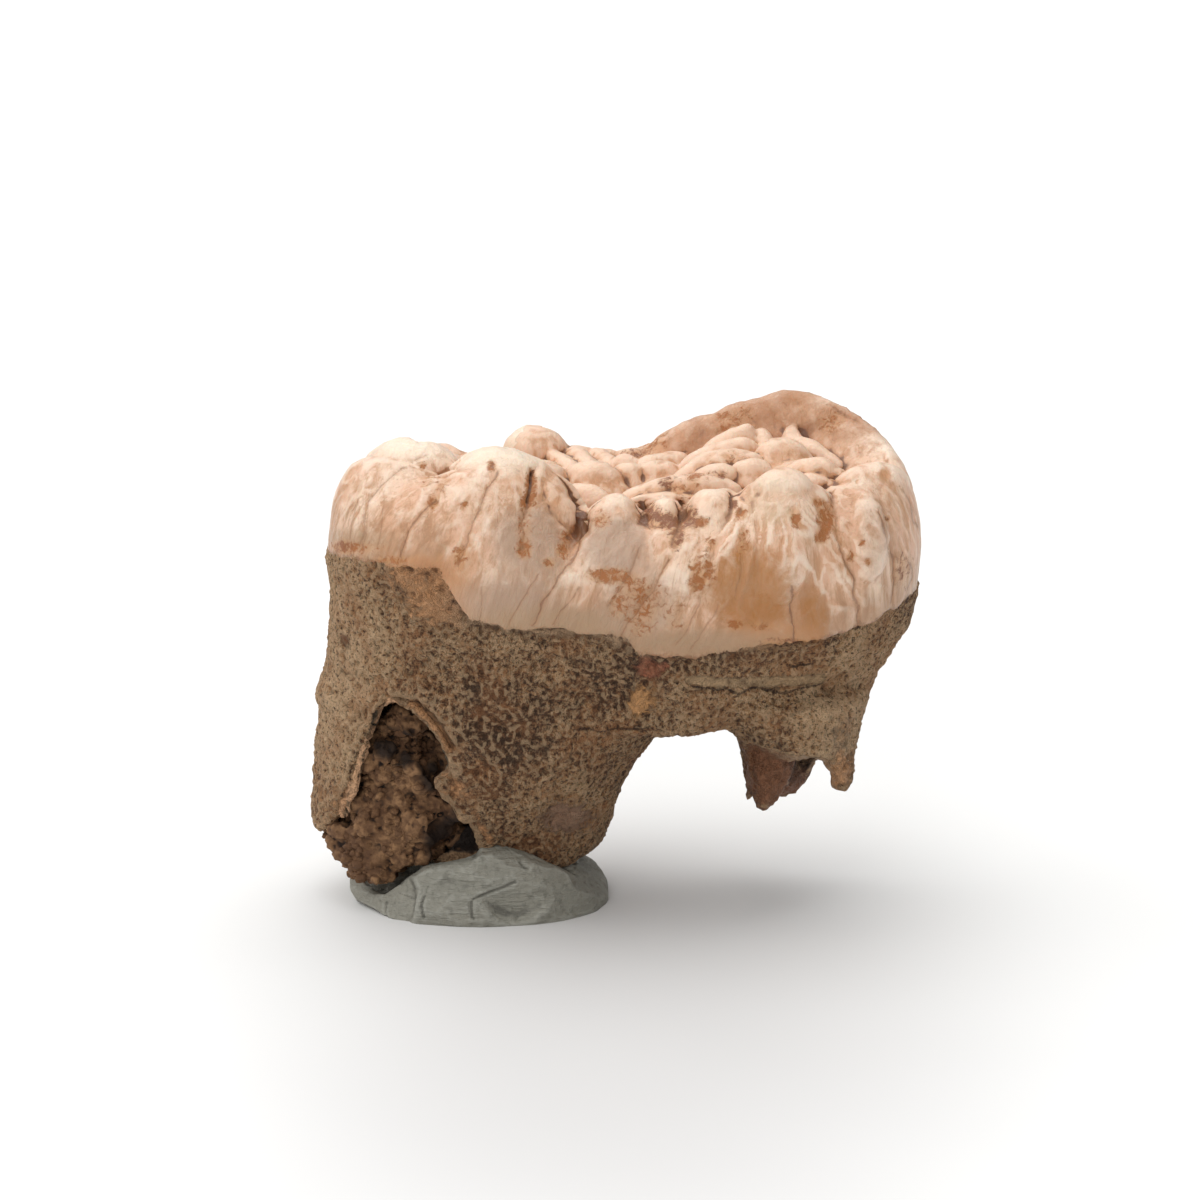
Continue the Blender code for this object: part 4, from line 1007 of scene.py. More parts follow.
# Smooth bands of broken root wall in the front view: route, half width in pixels, colour and strength.
BAND_TAN = (0.86, 0.50, 0.28)
NEAR_BANDS = (
    (((392, 704), (383, 716), (371, 740), (359, 775), (345, 812)), 6.5, BAND_TAN, 1.0),
    (((400, 702), (416, 706), (430, 718), (440, 732), (450, 748)), 4.0, ORANGE, 0.8),
    (((474, 814), (482, 828), (490, 840)), 4.0, ORANGE, 0.7),
    (((757, 757), (785, 757), (811, 758), (826, 762)), 2.5, TAN, 0.8),
    (((690, 680), (720, 683), (760, 682), (820, 679)), 5.0, STRIP, 0.9),
)

# The first bands are bevelled this deep towards the window.
BEVELLED_BANDS = 2
BEVEL_DEPTH = 0.00050

# Tints by place in the part, in metres: middle, radius, colour and strength.
LOBE_RED = (0.21, 0.08, 0.035)
# Painted shade, near black, inside the right root's hollow.
HOLLOW_SHADE = (0.035, 0.022, 0.018)
FAR_TAN = (0.42, 0.195, 0.088)
TINTS = (
    ((0.0079, -0.0016, 0.0070), 0.0024, LOBE_RED, 1.0),
    # These two tints are painted shade inside the right root's hollow.
    ((0.0101, 0.0006, 0.0076), 0.0022, HOLLOW_SHADE, 0.9),
    ((0.0098, 0.0026, 0.0050), 0.0018, HOLLOW_SHADE, 0.8),
    ((0.0092, 0.0036, 0.0043), 0.0012, RED_BROWN, 0.7), ((-0.0078, -0.0056, 0.0070), 0.0012, ORANGE, 0.6),
    ((0.0094, 0.0048, 0.0248), 0.0008, AMBER, 0.9), ((0.0080, 0.0062, 0.0235), 0.0036, FAR_TAN, 0.8),
    ((0.0125, 0.0040, 0.0230), 0.0026, FAR_TAN, 0.8), ((0.0040, 0.0060, 0.0222), 0.0022, FAR_TAN, 0.8),
    ((-0.0056, -0.0044, 0.0240), 0.0022, CAP, 1.0), ((-0.0102, -0.0018, 0.0242), 0.0024, CAP, 0.8),
)
SPOTS = (
    ((0.0114, -0.0010, 0.0218), 0.0013, RUST, 0.7), ((0.0062, 0.0046, 0.0236), 0.0012, RUST, 0.45),
    ((0.0022, 0.0052, 0.0222), 0.0009, RUST, 0.6), ((0.0008, 0.0046, 0.0218), 0.0008, RED_BROWN, 0.6),
    ((0.0112, 0.0036, 0.0236), 0.0009, RUST, 0.5), ((0.0040, -0.0033, 0.0225), 0.0008, RUST, 0.5),
    ((0.0052, -0.0030, 0.0224), 0.0005, RED_BROWN, 0.6),
    ((0.0026, -0.0036, 0.0222), 0.0005, RED_BROWN, 0.6), ((0.0034, -0.0042, 0.0218), 0.0006, RUST, 0.5),
    ((0.0058, -0.0012, 0.0230), 0.0006, RUST, 0.4),
)


def paint(points, flat, near, marks, spots, bands=()):
    """Colour of the stains or patches at each point, and how strongly they cover it."""
    colour = np.zeros((len(points), 3))
    cover = np.zeros(len(points))
    seen = np.flatnonzero(near)
    layers = []
    for route, half_width, tint, strength in bands:
        signed, past, _ = beside_route(flat[seen], route)
        reach = np.hypot(signed, past) / half_width
        layers.append((seen, strength * (1 - smooth_step(reach, 0.6, 1.4)), tint))
    for x, y, half_width, half_height, tint, strength in marks:
        reach = np.hypot((flat[seen, 0] - x) / half_width, (flat[seen, 1] - y) / half_height)
        layers.append((seen, strength * (1 - smooth_step(reach, 0.3, 1.5)), tint))
    for middle, radius, tint, strength in spots:
        reach = np.linalg.norm(points - np.array(middle), axis=1) / radius
        chosen = np.flatnonzero(reach < 1.5)
        layers.append((chosen, strength * (1 - smooth_step(reach[chosen], 0.3, 1.5)), tint))
    for chosen, share, tint in layers:
        kept = cover[chosen] * (1 - share)
        total = kept + share
        mixed = colour[chosen] * kept[:, None] + np.array(tint) * share[:, None]
        colour[chosen] = mixed / np.maximum(total, 1e-6)[:, None]
        cover[chosen] = total
    return colour, cover


def root_tone(points, flat, near):
    """How much lighter or darker the root is at each point."""
    tone = 0.07 * noise_at(points, 0.0040, 41.0) + 0.05 * noise_at(points, 0.0016, 61.0)
    seen = np.flatnonzero(near)
    for x, y, half_width, half_height, amount in ROOT_TONES:
        reach = np.hypot((flat[seen, 0] - x) / half_width, (flat[seen, 1] - y) / half_height)
        tone[seen] += amount * (1 - smooth_step(reach, 0.2, 1.6))
    return tone


# No root is broken open over this height.
BROKEN_TOP = 0.0112


def under_skin(points):
    """How deep each point of the roots lies under the roots' unbroken outside, in millimetres."""
    depth = np.zeros(len(points))
    for rows, chosen in ((LEFT_ROOT, points[:, 0] < 0.002), (RIGHT_ROOT, points[:, 0] >= 0.002)):
        levels = np.array([smooth_row(rows, share) for share in np.linspace(0, 1, 60)])
        columns = [np.interp(points[:, 2], levels[:, 0], levels[:, i]) for i in range(1, 5)]
        x, y, half_length, half_depth = columns
        turn = np.arctan2(points[:, 1] - y, points[:, 0] - x)
        reach = np.hypot(points[:, 0] - x, points[:, 1] - y)
        squared = np.abs(np.cos(turn) / half_length) ** ROOT_ROUNDNESS
        squared += np.abs(np.sin(turn) / half_depth) ** ROOT_ROUNDNESS
        depth = np.where(chosen, squared ** (-1 / ROOT_ROUNDNESS) - reach, depth)
    return 1000 * depth * (points[:, 2] < BROKEN_TOP)


def in_basin(points):
    """1 on the chewing surface inside the crown's rim, falling to 0 on the rim and on the walls."""
    inside = 1 - smooth_step(share_of_reach(points), 0.72, 0.88)
    plain_lobes = smooth_step(points[:, 0], -0.0075, -0.0050) + smooth_step(points[:, 1], -0.0005, 0.0015)
    return inside * smooth_step(points[:, 2], 0.0192, 0.0204) * np.minimum(plain_lobes, 1.0)


def make_molar():
    """The tooth: crown, roots and everything broken out of them, as one skin."""
    forms = [ringed_form(crown_place)]
    forms += [hooped_form(LEFT_ROOT, ROOT_ROUNDNESS), hooped_form(RIGHT_ROOT, ROOT_ROUNDNESS)]
    forms += [egg(*row) for row in RIM_CUSPS + BASIN_FOLDS]
    forms += [foot_of_fold(*row) for row in BASIN_FOLDS]
    molar = join_forms("molar_tooth", forms)
    fuse(molar, sizes().form_grid)
    relax(molar, 1)
    for _ in range(2):
        deepen(molar, 5, 1.2, in_basin(read_points(molar)[0]))
    hollow = [hooped_form(SEDIMENT, ROOT_ROUNDNESS, SEDIMENT_GAP)]
    hollow += [egg(*row, SEDIMENT_GAP) for row in SEDIMENT_LUMPS]
    carve(molar, [slab(WINDOW, WINDOW_FRONT, WINDOW_BACK, WINDOW_NARROWING)], None)
    carve(molar, hollow, sizes().form_grid)
    for broken in (
        (LEFT_ROOT_MIDDLE, LEFT_ROOT_REACH, LEFT_ROOT_EDGE, BELOW_ALL / 2),
        (STUB_MIDDLE, STUB_REACH, STUB_EDGE, STUB_MIDDLE_HEIGHT),
    ):
        carve(molar, [broken_edge_form(*broken)], sizes().form_grid)
    carve(molar, [hooped_form(STUB_HOLLOW, ROOT_ROUNDNESS)], None)
    add_forms(molar, [egg(*STUB_LOBE), slab(FLAKE, FLAKE_FRONT, FLAKE_BACK)])
    fuse(molar, sizes().fine_grid)
    relax(molar, 1)
    deepen(molar, 5, 1.5, in_basin(read_points(molar)[0]))
    sculpt_molar(molar)
    dress_molar(molar)
    return molar


def dress_molar(obj):
    """Keeps what the tooth's materials read, thins the mesh where it is plain, and parts enamel from root."""
    points, normals = read_points(obj)
    near = on_near_side(points, normals)
    over = over_enamel_line(points)
    store(obj, "over_line", over * 1000)
    store(obj, "under_skin", under_skin(points))
    store(obj, "basin", in_basin(points))
    store(obj, "hollow", hollowness(obj, 6))
    store(obj, "broad_hollow", hollowness(obj, 60))
    basin = (points[:, 2] > 0.0195) & (points[:, 1] > -0.0065)
    fine = np.where(near | (basin & (normals[:, 2] > 0.0)), 0.9, 0.5)
    thin_out(obj, sizes().faces, fine)
    points, normals = read_points(obj)
    near = on_near_side(points, normals)
    flat = front_view(points)
    across, dark = mark_cracks(points, flat, near)
    store(obj, "crack_across", across)
    store(obj, "crack_dark", dark)
    painted = (("mark", NEAR_MARKS, SPOTS, ()), ("patch", NEAR_PATCHES, TINTS, NEAR_BANDS))
    for name, marks, spots, bands in painted:
        colour, cover = paint(points, flat, near, marks, spots, bands)
        store(obj, name, np.column_stack((colour, np.ones(len(points)))), "FLOAT_COLOR")
        store(obj, name + "_cover", cover)
    store(obj, "tone", root_tone(points, flat, near))
    store(obj, "grown", twisted(points) * 1000, "FLOAT_VECTOR")
    obj.data.materials.clear()
    obj.data.materials.append(enamel_material())
    obj.data.materials.append(root_material())
    corners = np.empty(len(obj.data.polygons) * 3, dtype=np.int64)
    obj.data.polygons.foreach_get("vertices", corners)
    line = np.empty(len(points), dtype=np.float32)
    obj.data.attributes["over_line"].data.foreach_get("value", line)
    on_root = (line[corners].reshape(-1, 3).mean(axis=1) < 0).astype(np.int32)
    obj.data.polygons.foreach_set("material_index", on_root)
    obj.data.shade_smooth()


class Shades:
    """A material's nodes, added one by one."""

    def __init__(self, name):
        self.material = bpy.data.materials.new(name)
        self.material.use_nodes = True
        self.tree = self.material.node_tree
        self.shader = self.tree.nodes["Principled BSDF"]

    def add(self, kind, **settings):
        node = self.tree.nodes.new(kind)
        for name, value in settings.items():
            setattr(node, name, value)
        return node

    def feed(self, socket, value):
        """Links a node's socket, or sets a number or colour, on an input."""
        if isinstance(value, bpy.types.NodeSocket):
            self.tree.links.new(value, socket)
        elif isinstance(value, (int, float)):
            socket.default_value = value
        else:
            socket.default_value = (*value, 1.0) if len(value) == 3 and socket.type == "RGBA" else value

    def feed_all(self, node, values):
        """Feeds a node's inputs by name."""
        for name, value in values.items():
            self.feed(node.inputs[name], value)

    def attribute(self, name, output="Fac"):
        return self.add("ShaderNodeAttribute", attribute_name=name).outputs[output]

    def place(self):
        return self.add("ShaderNodeTexCoord").outputs["Object"]

    def scaled(self, vector, scale, turned=(0.0, 0.0, 0.0)):
        node = self.add("ShaderNodeMapping")
        self.feed_all(node, {"Rotation": turned, "Vector": vector, "Scale": scale})
        return node.outputs["Vector"]

    def noise(self, vector, scale, detail=3.0, roughness=0.55, distortion=0.0, kind="FBM"):
        node = self.add("ShaderNodeTexNoise", noise_type=kind)
        inputs = {
            "Vector": vector, "Scale": scale, "Detail": detail,
            "Roughness": roughness, "Distortion": distortion,
        }
        self.feed_all(node, inputs)
        return node.outputs["Fac"]

    def math(self, operation, *values):
        node = self.add("ShaderNodeMath", operation=operation)
        for socket, value in zip(node.inputs, values):
            self.feed(socket, value)
        return node.outputs["Value"]

    def span(self, value, low, high, start=0.0, end=1.0):
        """Value from low to high, spread smoothly over start to end."""
        node = self.add("ShaderNodeMapRange", interpolation_type="SMOOTHSTEP")
        numbers = {"Value": value, "From Min": low, "From Max": high, "To Min": start, "To Max": end}
        self.feed_all(node, numbers)
        return node.outputs["Result"]

    def mix(self, share, a, b):
        node = self.add("ShaderNodeMix", data_type="RGBA")
        self.feed(node.inputs[0], share)
        self.feed(node.inputs[6], a)
        self.feed(node.inputs[7], b)
        return node.outputs[2]

    def ramp(self, value, stops):
        node = self.add("ShaderNodeValToRGB")
        ramp = node.color_ramp
        while len(ramp.elements) < len(stops):
            ramp.elements.new(0.5)
        for element, (place, colour) in zip(ramp.elements, stops):
            element.position = place
            element.color = (*colour, 1.0)
        self.feed(node.inputs["Fac"], value)
        return node.outputs["Color"]

    def bump(self, height, strength, distance, normal=None):
        node = self.add("ShaderNodeBump")
        self.feed_all(node, {"Height": height, "Strength": strength, "Distance": distance})
        if normal is not None:
            self.feed(node.inputs["Normal"], normal)
        return node.outputs["Normal"]

    def finish(self, colour, roughness, normal, **settings):
        self.feed_all(self.shader, {"Base Color": colour, "Roughness": roughness, "Normal": normal})
        for name, value in settings.items():
            self.feed(self.shader.inputs[name.replace("_", " ")], value)
        return self.material


BLOOM = (0.88, 0.72, 0.58)
# Colour of the lower enamel: partly its own, partly painted shade under the crown's bulge.
LOW_ENAMEL_AND_SHADE = (0.38, 0.205, 0.105)
STAIN_HAZE = (0.56, 0.27, 0.10)
# Dirt and painted shade in the basin's broad hollows.
BASIN_DIRT_AND_SHADE = (0.36, 0.15, 0.06)
CRACK_BROWN = (0.22, 0.095, 0.043)


def enamel_material():
    """Pinkish cream enamel with growth streaks, an amber patch, rusty stains and dark cracks, with dirt and
    painted shade in its crevices and hollows and partly painted shade low on its wall.
    """
    c = colours()
    s = Shades("fossil_enamel")
    place = s.place()
    grown = s.attribute("grown", "Vector")
    streaks = s.noise(s.scaled(grown, (1.5, 1.5, 0.17)), 1.0, 5.0, 0.62, 0.5)
    fine_streaks = s.noise(s.scaled(grown, (4.2, 4.2, 0.42)), 1.0, 4.0, 0.6, 0.8)
    broad = s.noise(place, 230.0, 3.0)
    mottle = s.noise(place, 1000.0, 5.0, 0.66, 0.4)
    specks = s.noise(place, 3000.0, 5.0, 0.62)
    blots = s.noise(place, 2900.0, 5.0, 0.68, 0.6)
    colour = s.mix(s.span(broad, 0.42, 0.62), tuple(c.enamel), tuple(c.enamel_pale))
    basin = s.attribute("basin")
    colour = s.mix(s.math("MULTIPLY", basin, 0.8), colour, tuple(c.basin))
    colour = s.mix(s.span(mottle, 0.5, 0.68, 0.0, 0.5), colour, tuple(c.enamel_warm))
    colour = s.mix(s.span(streaks, 0.47, 0.62, 0.0, 0.75), colour, tuple(c.enamel_warm))
    colour = s.mix(s.span(fine_streaks, 0.53, 0.7, 0.0, 0.5), colour, tuple(c.streak))
    colour = s.mix(s.span(s.attribute("hollow"), -0.001, -0.012, 0.0, 0.5), colour, tuple(c.enamel_pale))
    bloom = s.math("MULTIPLY_ADD", s.math("SUBTRACT", mottle, 0.5), 0.25, s.attribute("broad_hollow"))
    bloom = s.math("MULTIPLY", s.span(bloom, -0.02, -0.12, 0.0, 0.6), s.math("SUBTRACT", 1.0, basin))
    colour = s.mix(bloom, colour, BLOOM)
    over = s.attribute("over_line")
    # Darker towards the enamel line: partly the enamel's colour, partly painted shade under the bulge.
    low = s.span(s.math("MULTIPLY_ADD", streaks, -5.0, over), -2.6, 0.6, 1.0, 0.0)
    colour = s.mix(s.math("MULTIPLY", low, 0.8), colour, LOW_ENAMEL_AND_SHADE)
    edge = s.span(s.math("MULTIPLY_ADD", specks, -1.2, over), -0.6, -0.35, 0.8, 0.0)
    colour = s.mix(edge, colour, tuple(c.root))
    tops = s.math("MULTIPLY", s.span(s.attribute("broad_hollow"), -0.03, -0.14), basin)
    colour = s.mix(s.math("MULTIPLY", tops, 0.6), colour, tuple(c.enamel_pale))
    patch = s.attribute("patch_cover")
    soft = s.span(s.math("MULTIPLY_ADD", s.math("SUBTRACT", mottle, 0.5), 1.0, patch), 0.05, 0.9)
    soft = s.math("MULTIPLY", soft, s.span(patch, 0.0, 0.3))
    colour = s.mix(s.math("MULTIPLY", soft, 0.85), colour, s.attribute("patch", "Color"))
    mark = s.attribute("mark_cover")
    ragged = s.math("MULTIPLY_ADD", s.math("SUBTRACT", blots, 0.5), 3.2, mark)
    stained = s.math("MULTIPLY", s.span(ragged, 0.28, 0.9), s.span(mark, 0.03, 0.25))
    haze = s.span(mark, 0.02, 0.8, 0.0, 0.6)
    colour = s.mix(haze, colour, STAIN_HAZE)
    colour = s.mix(s.math("MULTIPLY", stained, 0.9), colour, s.attribute("mark", "Color"))
    # Painted shade: the broad hollows are darkened with the streak brown.
    colour = s.mix(s.span(s.attribute("broad_hollow"), 0.03, 0.2, 0.0, 0.7), colour, tuple(c.streak))
    # Dirt and painted shade: the basin's broad hollows and its crevices are darkened.
    dirt_and_shade = s.math("MULTIPLY", s.span(s.attribute("broad_hollow"), 0.0, 0.10), basin)
    colour = s.mix(s.math("MULTIPLY", dirt_and_shade, 0.75), colour, BASIN_DIRT_AND_SHADE)
    crevice_dirt_and_shade = s.math("MULTIPLY", s.span(s.attribute("hollow"), 0.003, 0.022, 0.0, 0.9), basin)
    # Painted shade: the deeper small hollows are darkened with the streak brown too.
    colour = s.mix(s.span(s.attribute("hollow"), 0.010, 0.045, 0.0, 0.55), colour, tuple(c.streak))
    colour = s.mix(crevice_dirt_and_shade, colour, tuple(c.crevice_dirt_and_shade))
    across = s.math("ABSOLUTE", s.attribute("crack_across"))
    wavering = s.math("MULTIPLY_ADD", s.math("SUBTRACT", specks, 0.5), 2.6, across)
    dark = s.attribute("crack_dark")
    halo = s.math("MULTIPLY", s.span(wavering, 0.5, 3.0, 0.45, 0.0), dark)
    colour = s.mix(halo, colour, tuple(c.streak))
    crack = s.math("MULTIPLY", s.span(wavering, 0.1, 0.9, 0.65, 0.0), dark)
    colour = s.mix(crack, colour, CRACK_BROWN)
    wrinkles = s.noise(s.scaled(grown, (3.6, 3.6, 1.0)), 1.0, 4.0, 0.55, 1.2)
    normal = s.bump(wrinkles, 0.5, 0.00016)
    normal = s.bump(specks, 0.3, 0.00005, normal)
    normal = s.bump(s.math("MULTIPLY", s.math("MAXIMUM", crack, stained), -1.0), 0.5, 0.00008, normal)
    rough = s.math("MULTIPLY_ADD", mottle, 0.3, 0.2)
    rough = s.math("MULTIPLY_ADD", stained, 0.2, rough)
    return s.finish(colour, rough, normal, IOR=1.5, Subsurface_Weight=0.15, Subsurface_Scale=0.001)


WARM_ROOT = (0.50, 0.205, 0.075)
ROOT_CRACK = (0.05, 0.024, 0.012)
# Painted shade: near black low in the hollow's lining.
PIT_SHADE = (0.02, 0.012, 0.008)
# Places and colours on a ramp: the broken wall, and the lining of the right root's hollow.
BROKEN_WALL = ((0.35, (0.23, 0.125, 0.065)), (0.62, (0.46, 0.29, 0.165)))
HOLLOW_LINING = ((0.35, (0.10, 0.085, 0.06)), (0.65, (0.22, 0.19, 0.14)))


def root_material():
    """Brown crusted root: tan fibres over dark pores, soft patches, and smooth tan broken edges."""
    c = colours()
    s = Shades("fossil_root")
    place = s.place()
    bend = s.add("ShaderNodeTexNoise")
    s.feed(bend.inputs["Vector"], place)
    s.feed(bend.inputs["Scale"], 900.0)
    bent = s.add("ShaderNodeVectorMath", operation="MULTIPLY_ADD")
    s.feed(bent.inputs[0], bend.outputs["Color"])
    s.feed(bent.inputs[1], (0.0007, 0.0007, 0.0007))
    s.feed(bent.inputs[2], place)
    weave = s.noise(s.scaled(bent.outputs[0], (1.0, 1.0, 0.65)), 2500.0, 2.0, 0.5)
    fibres = s.span(s.math("ABSOLUTE", s.math("SUBTRACT", weave, 0.5)), 0.004, 0.05, 1.0, 0.0)
    fine_weave = s.noise(s.scaled(bent.outputs[0], (0.8, 0.8, 1.0)), 4300.0, 2.0, 0.5)
    fine_fibres = s.span(s.math("ABSOLUTE", s.math("SUBTRACT", fine_weave, 0.48)), 0.004, 0.06, 1.0, 0.0)
    fibres = s.math("MAXIMUM", fibres, s.math("MULTIPLY", fine_fibres, 0.8))
    crumbs = s.noise(place, 5400.0, 5.0, 0.72)
    pits = s.noise(place, 1900.0, 5.0, 0.7, 0.3)
    warm = s.noise(place, 420.0, 4.0, 0.6)
    relief = s.math("MULTIPLY_ADD", crumbs, 0.5, s.math("MULTIPLY", pits, 0.5))
    browns = (0.40, c.root_dark), (0.48, c.root), (0.56, c.root_mid), (0.68, c.root_light)
    toned = s.math("ADD", relief, s.attribute("tone"))
    colour = s.ramp(toned, [(place, tuple(brown)) for place, brown in browns])
    thread = s.math("MULTIPLY", fibres, s.span(toned, 0.42, 0.56, 0.1, 0.95))
    colour = s.mix(thread, colour, tuple(c.root_light))
    colour = s.mix(s.span(warm, 0.45, 0.64, 0.0, 0.5), colour, WARM_ROOT)
    colour = s.mix(s.span(crumbs, 0.37, 0.475, 0.85, 0.0), colour, tuple(c.root_dark))
    colour = s.mix(s.span(s.attribute("hollow"), -0.006, -0.03, 0.0, 0.5), colour, tuple(c.root_light))
    deep = s.attribute("under_skin")
    broken = s.span(deep, 0.25, 0.4)
    colour = s.mix(s.math("MULTIPLY", broken, 0.9), colour, s.ramp(crumbs, BROKEN_WALL))
    inner = s.add("ShaderNodeSeparateXYZ")
    s.feed(inner.inputs[0], place)
    lining = s.math("MULTIPLY", s.span(deep, 0.8, 1.0), s.span(inner.outputs["X"], 0.0, 0.001, 1.0, 0.0))
    colour = s.mix(s.math("MULTIPLY", lining, 0.85), colour, s.ramp(crumbs, HOLLOW_LINING))
    # Painted shade: the lining is turned black low down in the hollow.
    pit_shade = s.math("MULTIPLY", lining, s.span(inner.outputs["Z"], 0.0045, 0.0062, 1.0, 0.0))
    colour = s.mix(pit_shade, colour, PIT_SHADE)
    patch = s.attribute("patch_cover")
    soft = s.span(s.math("MULTIPLY_ADD", s.math("SUBTRACT", pits, 0.5), 2.6, patch), 0.25, 0.7)
    soft = s.math("MULTIPLY", soft, s.span(patch, 0.0, 0.3))
    colour = s.mix(s.math("MULTIPLY", soft, 0.85), colour, s.attribute("patch", "Color"))
    mark = s.attribute("mark_cover")
    stained = s.span(s.math("MULTIPLY_ADD", s.math("SUBTRACT", crumbs, 0.5), 3.0, mark), 0.35, 0.8)
    stained = s.math("MULTIPLY", stained, s.span(mark, 0.03, 0.25))
    colour = s.mix(s.math("MULTIPLY", stained, 0.75), colour, s.attribute("mark", "Color"))
    # Painted shade: the root is darkened in its hollows.
    colour = s.mix(s.span(s.attribute("hollow"), 0.012, 0.05, 0.0, 0.5), colour, tuple(c.root_dark))
    across = s.math("ABSOLUTE", s.attribute("crack_across"))
    wavering = s.math("MULTIPLY_ADD", s.math("SUBTRACT", crumbs, 0.5), 4.0, across)
    crack = s.math("MULTIPLY", s.span(wavering, 0.5, 1.8, 1.0, 0.0), s.attribute("crack_dark"))
    colour = s.mix(crack, colour, ROOT_CRACK)
    smooth = s.math("MAXIMUM", s.math("MULTIPLY", broken, 0.8), s.math("MULTIPLY", soft, 0.7))
    rough_share = s.math("SUBTRACT", 1.0, smooth)
    height = s.math("MULTIPLY_ADD", thread, 0.3, relief)
    normal = s.bump(s.math("MULTIPLY", height, rough_share), 1.0, 0.0013)
    normal = s.bump(s.math("MULTIPLY", crack, -1.0), 0.7, 0.0002, normal)
    return s.finish(colour, s.math("MULTIPLY_ADD", rough_share, 0.26, 0.54), normal, IOR=1.42)


def rough_ball(chance, place, radius, subdivisions):
    """A crumb: an angular ball, a little longer or flatter than round."""
    form = bmesh.new()
    bmesh.ops.create_icosphere(form, subdivisions=subdivisions, radius=1.0)
    for vert in form.verts:
        vert.co *= chance.uniform(0.74, 1.16)
    spin = Matrix.Rotation(chance.uniform(0, math.tau), 4, "Z")
    spin = spin @ Matrix.Rotation(chance.uniform(0, math.pi), 4, "X")
    sides = (radius * chance.uniform(0.85, 1.45), radius, radius * chance.uniform(0.55, 1.0), 1.0)
    placed = Matrix.Translation(place) @ spin @ Matrix.Diagonal(sides)
    bmesh.ops.transform(form, matrix=placed, verts=form.verts)
    return form


def in_earth_hollow(points):
    """1 in the hollows between the clods, falling to 0 outside them."""
    inside = np.zeros(len(points))
    for start, end, radius in EARTH_HOLLOWS:
        along = np.array(end) - np.array(start)
        share = np.clip((points - np.array(start)) @ along / (along @ along), 0.0, 1.0)
        reach = np.linalg.norm(points - np.array(start) - share[:, None] * along, axis=1) / radius
        inside = np.maximum(inside, 1 - smooth_step(reach, 0.85, 1.25))
    return inside


# How much smaller the core is than the earth, before its clods, and the grids of its first forms.
CORE_GROWTH = -0.0003
LUMP_GROWTH = -0.0002
EARTH_CORE_GRID = 0.00025
EARTH_HOLLOW_GRID = 0.0002


def make_earth():
    """Cave earth: a core with hollows broken out of it and clods fused to it, strewn with loose crumbs."""
    core = [hooped_form(SEDIMENT, ROOT_ROUNDNESS, CORE_GROWTH)]
    core += [egg(*row, LUMP_GROWTH) for row in SEDIMENT_LUMPS]
    earth = join_forms("cave_earth", core)
    fuse(earth, EARTH_CORE_GRID)
    carve(earth, [egg(*row) for row in EARTH_HOLLOWS], EARTH_HOLLOW_GRID)
    points, _ = read_points(earth)
    push(earth, 0.0004 * noise_at(points, 0.0016) + 0.0003 * noise_at(points, 0.0008))
    points, normals = read_points(earth)
    recess = EARTH_RECESS * np.clip(-normals[:, 1], 0.0, 1.0) * smooth_step(points[:, 2], 0.0030, 0.0055)
    points[:, 1] += recess
    write_points(earth, points)
    points, normals = read_points(earth)
    chance = random.Random(11)
    clods = []
    crumbs = []
    for number in range(sizes().crumbs):
        index = chance.randrange(len(points))
        place = Vector(points[index])
        clod = number < CLODS
        radius = chance.uniform(0.0003, 0.0007) if clod else 0.00007 + 0.00024 * chance.random() ** 1.7
        middle = place + Vector(normals[index]) * chance.uniform(-0.5, 0.3) * radius
        if in_earth_hollow(np.array([middle]))[0] > 0.1:
            continue
        if clod:
            clods.append(rough_ball(chance, middle, radius, 3))
        else:
            crumbs.append(rough_ball(chance, middle, radius, 2 if radius > 0.00014 else 1))
    add_forms(earth, clods)
    fuse(earth, sizes().earth_grid)
    points, _ = read_points(earth)
    push(earth, 0.00007 * noise_at(points, 0.00024) + 0.00007 * noise_at(points, 0.0006))
    store(earth, "hollow", hollowness(earth, 5))
    store(earth, "broad_hollow", hollowness(earth, 40))
    # The hollows between the clods are kept for painted shade.
    store(earth, "black", in_earth_hollow(read_points(earth)[0]))
    thin_out(earth, EARTH_CORE_FACES)
    add_forms(earth, crumbs)
    earth.data.materials.clear()
    earth.data.materials.append(earth_material())
    earth.data.shade_smooth()
    return earth


EARTH_PATCH = (0.11, 0.05, 0.022)
# Painted shade: dark in the crevices, black in the broad hollows and between the clods.
EARTH_CREVICE_SHADE = (0.02, 0.009, 0.005)
EARTH_SHADE_BLACK = (0.012, 0.006, 0.004)


def earth_material():
    """Brown earth: paler grains and tips, and painted shade, black, in its crevices and between the crumbs.
    """
    c = colours()
    s = Shades("cave_earth")
    place = s.place()
    grains = s.noise(place, 2400.0, 6.0, 0.65)
    broad = s.noise(place, 500.0, 2.0)
    colour = s.mix(s.span(grains, 0.4, 0.66), tuple(c.earth), tuple(c.earth_light))
    colour = s.mix(s.span(broad, 0.42, 0.62, 0.0, 0.7), colour, EARTH_PATCH)
    tips = s.span(s.attribute("hollow"), -0.004, -0.03, 0.0, 0.5)
    colour = s.mix(tips, colour, tuple(c.earth_light))
    # Painted shade: darker in the crevices, black in the broad hollows and between the clods.
    colour = s.mix(s.span(s.attribute("hollow"), 0.002, 0.03, 0.0, 0.85), colour, EARTH_CREVICE_SHADE)
    colour = s.mix(s.span(s.attribute("broad_hollow"), 0.02, 0.14, 0.0, 0.9), colour, EARTH_SHADE_BLACK)
    colour = s.mix(s.math("MULTIPLY", s.attribute("black"), 0.92), colour, EARTH_SHADE_BLACK)
    normal = s.bump(grains, 0.7, 0.00018)
    return s.finish(colour, s.span(grains, 0.2, 0.8, 0.75, 0.95), normal, IOR=1.45)


